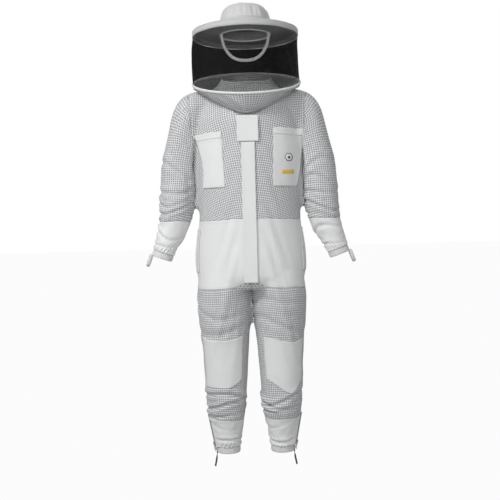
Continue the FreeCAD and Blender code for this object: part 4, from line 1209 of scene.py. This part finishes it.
zip_lo, zip_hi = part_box("main_zip_left")
rows = np.arange(zip_lo.z + 0.002, zip_hi.z - 0.002, 0.0026)
spots = [(x, zip_lo.y + 0.0001, z + rise) for z in rows for x, rise in ((0.0016, 0.0013), (-0.0016, 0))]
teeth("main_zip_teeth", spots, [UP] * len(spots), [(0, -1, 0)] * len(spots), high=0.0006)
for sign in (1, -1):
    side = side_of(sign)
    lean = math.radians(10.8) * sign
    up = np.array([math.sin(lean), 0, math.cos(lean)])
    out = np.array([math.cos(lean), 0, -math.sin(lean)]) * sign
    foot = np.array([sign * 0.153, -0.008, -1.392])
    spots = [foot + up * s + out * 0.0022 for s in np.arange(0.002, 0.140, 0.0024)]
    teeth("ankle_zip_teeth_" + side, spots, [up] * len(spots), [out] * len(spots), wide=0.0042, high=0.0008)

# ---------------- the hat

RING = 192
TURNS = np.arange(RING) * 2 * math.pi / RING


def lathe(name, profile, wobble=None):
    """Turns a profile of (radius, level) about the hat's axis; wobble moves points outward and up."""
    rows = []
    for i, (r, z) in enumerate(profile):
        dr, dz = wobble(r, z, TURNS) if wobble else (0, 0)
        rows.append(np.stack([(r + dr) * np.cos(TURNS), HAT_Y + (r + dr) * np.sin(TURNS),
                              z + dz + 0 * TURNS], axis=1))
    return grid(name, rows, closed=True)


def crown_wobble(r, z, t):
    """Soft tucks that run up the crown's side, and a shallow hollow on its top."""
    side = smooth(0.243, 0.262, z) * (1 - smooth(0.284, 0.296, z))
    tucks = (0.0016 * np.sin(7 * t + 1.1) + 0.0012 * np.sin(13 * t + 40 * (z - 0.25))
             + 0.0008 * np.sin(29 * t + 2))
    hollow = np.sin(3 * t + 0.6) + 0.6 * np.sin(5 * t + 90 * r)
    top = smooth(0.3005, 0.304, z) * 0.0016 * hollow * smooth(0.0, 0.03, r)
    return side * tucks, top


crown_line = spline([(0.0968, 0.2435, 0), (0.0946, 0.2530, 0), (0.0908, 0.2650, 0), (0.0862, 0.2770, 0),
                     (0.0806, 0.2880, 0), (0.0738, 0.2960, 0), (0.0665, 0.2998, 0)], 30)[:, :2]
top_line = spline([(0.0655, 0.3010, 0), (0.0560, 0.3034, 0), (0.0400, 0.3050, 0), (0.0200, 0.3057, 0),
                   (0.0005, 0.3058, 0)], 20)[:, :2]
crown = lathe("hat_crown_side", crown_line, crown_wobble)
finish_piece(solid(outward(crown), 0.0016, 0, 0.0), "hood", HAT_CLOTH, "plain_fabric", "hat_crown")
lid = lathe("hat_crown_top", top_line, crown_wobble)
finish_piece(solid(outward(lid), 0.0016, 0, 0.0), "hood", HAT_CLOTH, "plain_fabric")


def cord_ring(name, radius, level, thick):
    """A piping: a narrow covered cord round the hat."""
    turn = np.arange(14) * 2 * math.pi / 14
    around = [(radius + thick * math.cos(a), level + thick * math.sin(a)) for a in turn]
    rows = [[(r * math.cos(t), HAT_Y + r * math.sin(t), z) for r, z in around] for t in TURNS]
    obj = grid(name, rows + rows[:1], closed=True)
    return finish_piece(outward(obj), "hood", HAT_CLOTH, "plain_fabric")


cord_ring("hat_crown_piping", 0.0664, 0.3004, 0.0015)
cord_ring("hat_crown_foot_piping", 0.0976, 0.2418, 0.0016)


def hat_ring(radius, level):
    """A closed ring of points round the hat."""
    points = [(radius * math.cos(t), HAT_Y + radius * math.sin(t), level) for t in TURNS]
    return np.array(points + points[:1])


def flat_out():
    """The level direction outward at each point of such a ring."""
    out = np.stack([np.cos(TURNS), np.sin(TURNS), 0 * TURNS], axis=1)
    return np.concatenate([out, out[:1]])


stitches("hat_crown_stitching", [(hat_ring(0.0736, 0.2968), flat_out() + [0, 0, 1.2]),
                                 (hat_ring(0.0972, 0.2472), flat_out())], "hood")


def brim_wobble(r, z, t):
    far = smooth(0.11, 0.19, r)
    return 0, far * (0.0012 * np.sin(3 * t + 0.4) + 0.0008 * np.sin(8 * t))


brim_profile = [(0.0945, 0.2405), (0.0975, 0.2415), (0.1020, 0.2385), (0.1150, 0.2305), (0.1350, 0.2225),
                (0.1550, 0.2165), (0.1750, 0.2115), (0.1900, 0.2085), (0.1945, 0.2070), (0.1945, 0.2045),
                (0.1900, 0.2040), (0.1700, 0.2030), (0.1450, 0.2015), (0.1200, 0.1995), (0.1000, 0.1980),
                (0.0945, 0.1975), (0.0945, 0.2100), (0.0945, 0.2405)]
brim = lathe("hat_brim_cloth", spline([(r, z, 0) for r, z in brim_profile[:9]], 26)[:, :2].tolist()
             + brim_profile[9:], brim_wobble)
finish_piece(outward(brim), "hood", BRIM_CLOTH, "plain_fabric", "hat_brim")
upper_rs, upper_zs = zip(*brim_profile[1:9])
circles = [(hat_ring(r, np.interp(r, upper_rs, upper_zs) - 0.0002), flat_out() * 0.3 + [0, 0, 1])
           for r in (0.112, 0.127, 0.142, 0.157, 0.172, 0.186)]
under_rs, under_zs = (0.0945, 0.12, 0.145, 0.17, 0.19), (0.1975, 0.1995, 0.2015, 0.2030, 0.2040)
under = [(hat_ring(r, np.interp(r, under_rs, under_zs)), flat_out() * 0 - [0, 0, 1])
         for r in (0.106, 0.121, 0.136, 0.151, 0.166, 0.181)]
stitches("hat_brim_stitching", circles + under, "hood", out=0.0002)

# the tall band that binds the brim's edge
band_profile = [(0.1962, 0.1890), (0.1978, 0.1885), (0.2000, 0.1889), (0.2008, 0.1930), (0.2009, 0.1990),
                (0.2006, 0.2050), (0.1999, 0.2100), (0.1984, 0.2114), (0.1966, 0.2108), (0.1958, 0.2050),
                (0.1957, 0.1950), (0.1962, 0.1890)]


def band_wobble(r, z, t):
    return 0.0004 * np.sin(17 * t + 2) + 0.0003 * np.sin(31 * t + 200 * z), 0.0004 * np.sin(11 * t)


band = lathe("brim_band", band_profile, band_wobble)
finish_piece(outward(band), "hood", BRIM_CLOTH, "plain_fabric", "brim_binding")
stitches("brim_band_stitching", [(hat_ring(0.2009, z), flat_out()) for z in (0.1915, 0.1945, 0.2065, 0.2090)],
         "hood", out=0.0003)

# inside: a lined sweatband, white piping round the head opening, and the chin strap
sweat = lathe("sweatband_lining", [(0.0926, 0.2005), (0.0935, 0.2020), (0.0936, 0.2160), (0.0935, 0.2300),
                                   (0.0927, 0.2317), (0.0919, 0.2300), (0.0917, 0.2160), (0.0919, 0.2020),
                                   (0.0926, 0.2005)])
finish_piece(outward(sweat), "hood", ELASTIC, "elastic", "sweatband")
cord_ring("head_opening_piping", 0.0944, 0.1968, 0.0024)
chin_lo, chin_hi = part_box("chin_strap")
chin_y = (chin_lo.y + chin_hi.y) / 2
half, top, foot = chin_hi.x + 0.0060, chin_hi.z - 0.004, chin_lo.z - 0.0060
bow = np.linspace(0, math.pi, 90)
chin_path = np.stack([-half * np.sign(np.cos(bow)) * np.abs(np.cos(bow)) ** 0.80, chin_y + 0 * bow,
                      top - (top - foot) * np.sin(bow)], axis=1)
# the chin strap's elastic gets a small white emission (strength 0.22): a painted glow that brightens it
# against the hood's shade, though it is no lamp
CHIN_PAINTED_GLOW = ribbed("chin_elastic_painted_glow", (0.92, 0.92, 0.91), 0.0016, 0.7)
for node in CHIN_PAINTED_GLOW.node_tree.nodes:
    if node.type == "BSDF_PRINCIPLED":
        node.inputs["Emission Color"].default_value = (1, 1, 1, 1)
        node.inputs["Emission Strength"].default_value = 0.22
# the head opening's piping takes the same material, and so the same painted glow
for slot in bpy.data.objects["head_opening_piping"].material_slots:
    slot.material = CHIN_PAINTED_GLOW
chin_side = np.stack([-0.8 * np.cos(bow), 0.6 + 0 * bow, -0.8 * np.sin(bow)], axis=1)
chin = ribbon("chin_strap_elastic", chin_path, chin_side, 0.0120, 0.0013, 5)
finish_piece(chin, "hood", CHIN_PAINTED_GLOW, "elastic", "chin_strap")

# ---------------- the veil, its hoop, and the skirt that zips on

HOOP_TILT, HOOP_R, HOOP_Z = math.radians(20), 0.203, 0.017
NECK_TILT = math.radians(26.5)


def hoop_point(t, grow=0.0, rise=0.0):
    """A point by the hoop: t is the turn from the wearer's left, toward the back."""
    x, y = (HOOP_R + grow) * np.cos(t), (HOOP_R + grow) * np.sin(t)
    return np.stack([x, HAT_Y + y * math.cos(HOOP_TILT) - rise * math.sin(HOOP_TILT),
                     HOOP_Z + y * math.sin(HOOP_TILT) + rise * math.cos(HOOP_TILT)], axis=-1)


def neck_point(t):
    x, y = 0.092 * np.cos(t), 0.1413 * np.sin(t)
    return np.stack([x, -0.0145 + y * math.cos(NECK_TILT), -0.055 + y * math.sin(NECK_TILT)], axis=-1)


def veil_rows(turns, count=30):
    foot, rows = hoop_point(turns, 0.0, 0.0052), []
    head = np.stack([0.1990 * np.cos(turns), HAT_Y + 0.1990 * np.sin(turns), 0.1880 + 0 * turns], axis=1)
    for s in np.linspace(0, 1, count):
        point = foot + (head - foot) * s
        out = point - [0, HAT_Y, 0]
        out[:, 2] = 0
        out = unit(out)
        free = math.sin(math.pi * s)
        slack = 0.0012 * np.sin(9 * turns + 5 * s) + 0.0009 * np.sin(23 * turns + 9 * s)
        lean = 0.0028 * np.cos(turns - 2.6) - 0.0022 * np.cos(turns - 0.1)
        rows.append(point + out * (free * (slack + lean) + 0.0004)[:, None])
    return rows


# the net is clear across the face and closer woven behind
FRONT = np.linspace(math.radians(-172), math.radians(-8), 110)
BACK = np.linspace(math.radians(-8), math.radians(188), 110)
for name, turns, look in (("veil_front_net", FRONT, NET_FRONT), ("veil_back_net", BACK, NET_BACK)):
    sheet = grid(name, veil_rows(turns))
    finish_piece(sheet, "hood", look, "veil_mesh", "veil")
    sheet.data.shade_smooth()
    SHEETS[sheet] = "hung"
for name, t in (("veil_seam_left", math.radians(-8)), ("veil_seam_right", math.radians(-172))):
    line = np.array([row[0] for row in veil_rows(np.array([t]))])
    seam = ribbon(name, line * [1.001, 1, 1], (-math.sin(t), math.cos(t), 0), 0.007, 0.0009, 3)
    finish_piece(seam, "hood", WEBBING, "veil_mesh")

# hoop: a wire sewn into a white binding, puckered a little along its stitching
turn_in = np.arange(18) * 2 * math.pi / 18
hoop_rows = []
for k, t in enumerate(np.arange(288) * 2 * math.pi / 288):
    fat = 0.0044 + 0.00025 * math.sin(61 * t) + 0.0002 * math.sin(23 * t + 1)
    hoop_rows.append([hoop_point(np.float64(t), 0.9 * fat * math.cos(a), 1.06 * fat * math.sin(a))
                      for a in turn_in])
hoop = grid("hoop_binding_cloth", hoop_rows + hoop_rows[:1], closed=True)
finish_piece(outward(hoop), "hood", PLAIN, "plain_fabric", "hoop_binding")
loop_turn = np.concatenate([TURNS, TURNS[:1]])
hoop_out = hoop_point(loop_turn) - [0, HAT_Y, HOOP_Z]
stitches("hoop_stitching", [(hoop_point(loop_turn, grow, rise), hoop_out)
                            for grow, rise in ((0.0038, 0.0012), (0.0036, -0.0018))], "hood")

# the skirt starts where its cone meets the draped shoulders, so each turn is marched up from the neck
SKIRT_TURNS = np.arange(216) * 2 * math.pi / 216 - math.pi / 2


def above_cloth(point):
    hit, normal, _, _ = SKIN.find_nearest(Vector(point))
    return (Vector(point) - hit).dot(normal)


feet = []
for t in SKIRT_TURNS:
    low, high = neck_point(np.float64(t)), hoop_point(np.float64(t), 0.0, -0.0050)
    clear = 0.0
    for s in np.linspace(0, 0.9, 46):
        if above_cloth(low + (high - low) * s) < 0.0010:
            clear = s + 0.005
    feet.append(clear)
feet = np.array(feet)
for _ in range(6):
    feet = np.maximum(feet, (np.roll(feet, 1) + np.roll(feet, -1)) / 2) * 0.5 + \
        (np.roll(feet, 1) + np.roll(feet, -1) + feet) / 6
low, high = neck_point(SKIRT_TURNS), hoop_point(SKIRT_TURNS, 0.0, -0.0050)


def at_share(s, out=0.0):
    """Points on the skirt: s, one per turn, runs from 0 at its zipped foot to 1 at the hoop."""
    share = (feet + (1 - feet) * s)[:, None]
    point = low + (high - low) * share
    away = point - [0, -0.012, 0]
    away[:, 2] = -0.4 * np.linalg.norm(away[:, :2], axis=1)
    away = unit(away)
    free = np.sin(math.pi * s)
    fold = 0.0022 * np.sin(11 * SKIRT_TURNS + 3 * s) + 0.0016 * np.sin(19 * SKIRT_TURNS + 7 * s)
    return point + away * (free * (fold + 0.0055) + out)[:, None]


def hem_laid(row, s):
    """Toward its foot the skirt lies down on the shoulders, so that it leaves them without a step."""
    down = 1 - smooth(0.02, 0.26, np.float64(s))
    out = []
    for point in row:
        hit, normal, _, _ = SKIN.find_nearest(Vector(point))
        out.append(Vector(point).lerp(hit + normal * 0.0004, float(down)))
    return np.array(out)


SHARES = np.concatenate([[-0.05, -0.025], np.linspace(0, 1, 26)])
skirt_rows = [hem_laid(at_share(s + 0 * SKIRT_TURNS), s) for s in SHARES]
skirt = grid("hood_skirt_cloth", skirt_rows, closed=True)
mark = skirt.data.polygons[len(skirt.data.polygons) // 2]
if mark.normal.dot(mark.center - Vector((0, -0.012, mark.center.z))) < 0:
    skirt.data.flip_normals()
finish_piece(solid(skirt, 0.0018, 0), "hood", WHITE_MESH, "mesh_fabric", "hood_skirt")
SHEETS[skirt] = "gathered"

# the zip runs straight across the chest from beside the throat tab to the hoop, then round close under it
TAB_CORNER, HOOP_MEET, ZIP_TOP_SHARE = (0.040, -0.122), (0.130, -0.040), 0.86
AWAY = np.abs((SKIRT_TURNS + math.pi / 2 + math.pi) % (2 * math.pi) - math.pi)
ZIP_AT = np.full(len(SKIRT_TURNS), ZIP_TOP_SHARE)
for share in np.linspace(ZIP_TOP_SHARE, 0.02, 100):
    spots = at_share(share + 0 * SKIRT_TURNS)
    along = (np.abs(spots[:, 0]) - TAB_CORNER[0]) / (HOOP_MEET[0] - TAB_CORNER[0])
    line = TAB_CORNER[1] + (HOOP_MEET[1] - TAB_CORNER[1]) * along.clip(0, 1) ** 1.15
    ZIP_AT = np.where((AWAY < 1.25) & (along < 1) & (spots[:, 2] > line), share, ZIP_AT)
for _ in range(3):
    ZIP_AT = (np.roll(ZIP_AT, 1) + 2 * ZIP_AT + np.roll(ZIP_AT, -1)) / 4


def zip_row(shift, out):
    """A line along the hood's zip: shift is how far toward the hoop it lies, out how far it stands off."""
    reach = np.linalg.norm(high - low, axis=1) * (1 - feet)
    return at_share(ZIP_AT + shift / np.maximum(reach, 0.02), out)


def zip_band(name, near, far, out, thick, material, *nodes):
    obj = grid(name, [zip_row(shift, out) for shift in np.linspace(near, far, 4)], closed=True)
    mark = obj.data.polygons[0]
    if mark.normal.dot(mark.center - Vector((0, -0.012, mark.center.z + 0.02))) < 0:
        obj.data.flip_normals()
    return finish_piece(solid(obj, thick, 0), "hood", material, "zip_tape", *nodes)


zip_band("hood_zip_tape", -0.0065, 0.0085, 0.0016, 0.0010, TAPE, "hood_zip")
zip_band("hood_zip_chain", -0.0034, 0.0012, 0.0023, 0.0008, TAPE_DARK)
centres = zip_row(-0.0011, 0.0026)
runs = np.roll(centres, -1, axis=0) - np.roll(centres, 1, axis=0)
outs = centres - [0, -0.012, 0]
outs[:, 2] = -0.05
span = run_length(np.concatenate([centres, centres[:1]]))
at = np.arange(0, span[-1], 0.0026)
wrap = [np.concatenate([a, a[:1]]) for a in (centres, runs, outs)]
teeth("hood_zip_teeth", *[np.stack([np.interp(at, span, a[:, i]) for i in range(3)], axis=1) for a in wrap],
      wide=0.0030, high=0.0006, body="hood")
stitches("hood_zip_stitching", [(zip_row(0.0072, 0.0018), outs)], "hood")

# ---------------- a plain hexagon badge, and the CAD pieces kept

badge_look = Look("badge", (0.80, 0.55, 0.08), 0.45, Coat_Weight=0.2)
badge_look.bump(badge_look.noise(900.0), 0.0002, 0.5)
badge_lo, badge_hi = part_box("pocket_badge")
badge_at = (badge_lo + badge_hi) / 2 + Vector((-0.006, 0, 0.010))


def badge_piece(name, material, outline, rise, *nodes):
    """A thin shape laid on the breast pocket: outline is x and z from the badge's middle, as rows."""
    rows = []
    for line in outline:
        row = []
        for x, z in line:
            start = Vector((badge_at.x + x, -0.45, badge_at.z + z))
            hit, _, _, _ = breast.ray_cast(start, Vector((0, 1, 0)))
            row.append(hit - Vector((0, rise, 0)))
        rows.append(row)
    return finish_piece(solid(face_front(grid(name, rows)), 0.0005), "suit", material, "badge", *nodes)


def hexagon(size, x=0.0, z=0.0):
    turns = np.linspace(0, 2 * math.pi, 37)
    edge = size * math.cos(math.pi / 6) / np.cos((turns + math.pi / 6) % (math.pi / 3) - math.pi / 6)
    return [[(x + r * e * math.sin(t), z + r * e * math.cos(t)) for t, e in zip(turns, edge)]
            for r in np.linspace(0.02, 1, 5)]


BADGE_DARK = Look("badge_dark", (0.03, 0.03, 0.03), 0.5).material
BADGE_PALE = Look("badge_pale", (0.85, 0.85, 0.84), 0.5).material
badge_piece("badge_rim", BADGE_DARK, hexagon(0.0165), 0.0005, "pocket_badge")
badge_piece("badge_field", BADGE_PALE, hexagon(0.0135), 0.0009)
badge_piece("badge_cell", BADGE_DARK, hexagon(0.0052, 0.001, -0.001), 0.0013)
bar = [[(x, z) for x in np.linspace(-0.028, 0.018, 9)] for z in np.linspace(-0.046, -0.061, 4)]
badge_piece("badge_bar", badge_look.material, bar, 0.0006)
KEPT = {"waist_elastic": ELASTIC, "brim_wire": WIRE, "hoop_wire": WIRE, "main_zip_slider": COIL,
        "main_zip_pull": COIL, "neck_zip": TAPE}
for side in ("left", "right"):
    KEPT |= {"main_zip_" + side: TAPE, "ankle_zip_" + side: TAPE, "hood_zip_slider_" + side: COIL,
             "ankle_zip_slider_" + side: COIL}
for name, material in KEPT.items():
    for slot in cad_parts[name].material_slots:
        slot.material = material


def flat_cut(obj):
    """The width and length of the cloth's flat cut, and its area, from its metric coordinates."""
    mesh = obj.data
    flat = numbers(mesh.uv_layers["metric"].data, "uv", 2)
    size = flat.max(axis=0) - flat.min(axis=0)
    area = 0.0
    for face in mesh.polygons:
        x, y = flat[list(face.loop_indices)].T
        area += abs(np.dot(x, np.roll(y, -1)) - np.dot(y, np.roll(x, -1))) / 2
    layers = 1 if obj.name.startswith("veil") else 2
    return (float(size[0]), float(size[1])), float(min(area / layers, size[0] * size[1]))


for panel in panels.values():
    flat, area = flat_cut(panel)
    if area > 0.31 * flat[0] * flat[1]:
        SHEETS[panel] = "stretched"
for obj, held in SHEETS.items():
    flat, area = flat_cut(obj)

# ---------------- camera, light and floor

scene = bpy.context.scene
EYE, CAMERA_DROP, CAMERA_ROLL = Vector((0, -3.05, -0.52)), 1.9, 1.5
FLOOR_REACH, AIM = 30, Vector((0, 0, -0.5))
camera_data = bpy.data.cameras.new("camera")
camera_data.lens, camera_data.sensor_width = 57, 36
camera = bpy.data.objects.new("camera", camera_data)
scene.collection.objects.link(camera)
camera.location = EYE
camera.rotation_euler = (math.radians(90 - CAMERA_DROP), math.radians(CAMERA_ROLL), 0)
scene.camera = camera

squares = np.linspace(-FLOOR_REACH, FLOOR_REACH, 31)
floor = grid("floor", [[(x, y, FLOOR - 0.001) for x in squares] for y in squares])
floor_look = Look("floor", (0.34, 0.34, 0.34), 0.95)
floor_nodes, floor_links = floor_look.tree.nodes, floor_look.tree.links
glow, path, either = (floor_nodes.new(kind) for kind in (
    "ShaderNodeEmission", "ShaderNodeLightPath", "ShaderNodeMixShader"))
finish = next(node for node in floor_nodes if node.type == "OUTPUT_MATERIAL")
under = finish.inputs["Surface"].links[0].from_socket
glow.inputs["Strength"].default_value = 0.97
floor_links.new(path.outputs["Is Camera Ray"], either.inputs[0])
floor_links.new(under, either.inputs[1])
floor_links.new(glow.outputs[0], either.inputs[2])
floor_links.new(either.outputs[0], finish.inputs["Surface"])
floor.data.materials.append(floor_look.material)

world = bpy.data.worlds.new("studio")
scene.world = world
world.use_nodes = True
sky = world.node_tree
backdrop, soft, pick = (sky.nodes.new(kind) for kind in (
    "ShaderNodeBackground", "ShaderNodeBackground", "ShaderNodeMixShader"))
seen = sky.nodes.new("ShaderNodeLightPath")
backdrop.inputs["Strength"].default_value = 1.0
backdrop.inputs["Color"].default_value = (1, 1, 1, 1)
soft.inputs["Color"].default_value = (0.97, 0.985, 1, 1)
soft.inputs["Strength"].default_value = 0.42
sky.links.new(seen.outputs["Is Camera Ray"], pick.inputs[0])
sky.links.new(soft.outputs[0], pick.inputs[1])
sky.links.new(backdrop.outputs[0], pick.inputs[2])
sky.links.new(pick.outputs[0], sky.nodes["World Output"].inputs["Surface"])
scene.view_settings.view_transform = "Standard"
for name, place, size, power in (("key", (-2.1, -2.4, 2.0), 1.0, 80), ("fill", (2.2, -2.8, 0.9), 1.8, 10),
                                 ("back", (0.6, 2.4, 1.6), 1.6, 30),
                                 ("front", (-0.5, -2.9, -0.2), 1.6, 22)):
    data = bpy.data.lights.new(name, "AREA")
    data.size, data.energy = size, power
    lamp = bpy.data.objects.new(name, data)
    scene.collection.objects.link(lamp)
    lamp.location = place
    lamp.rotation_euler = (AIM - lamp.location).to_track_quat("-Z", "Y").to_euler()
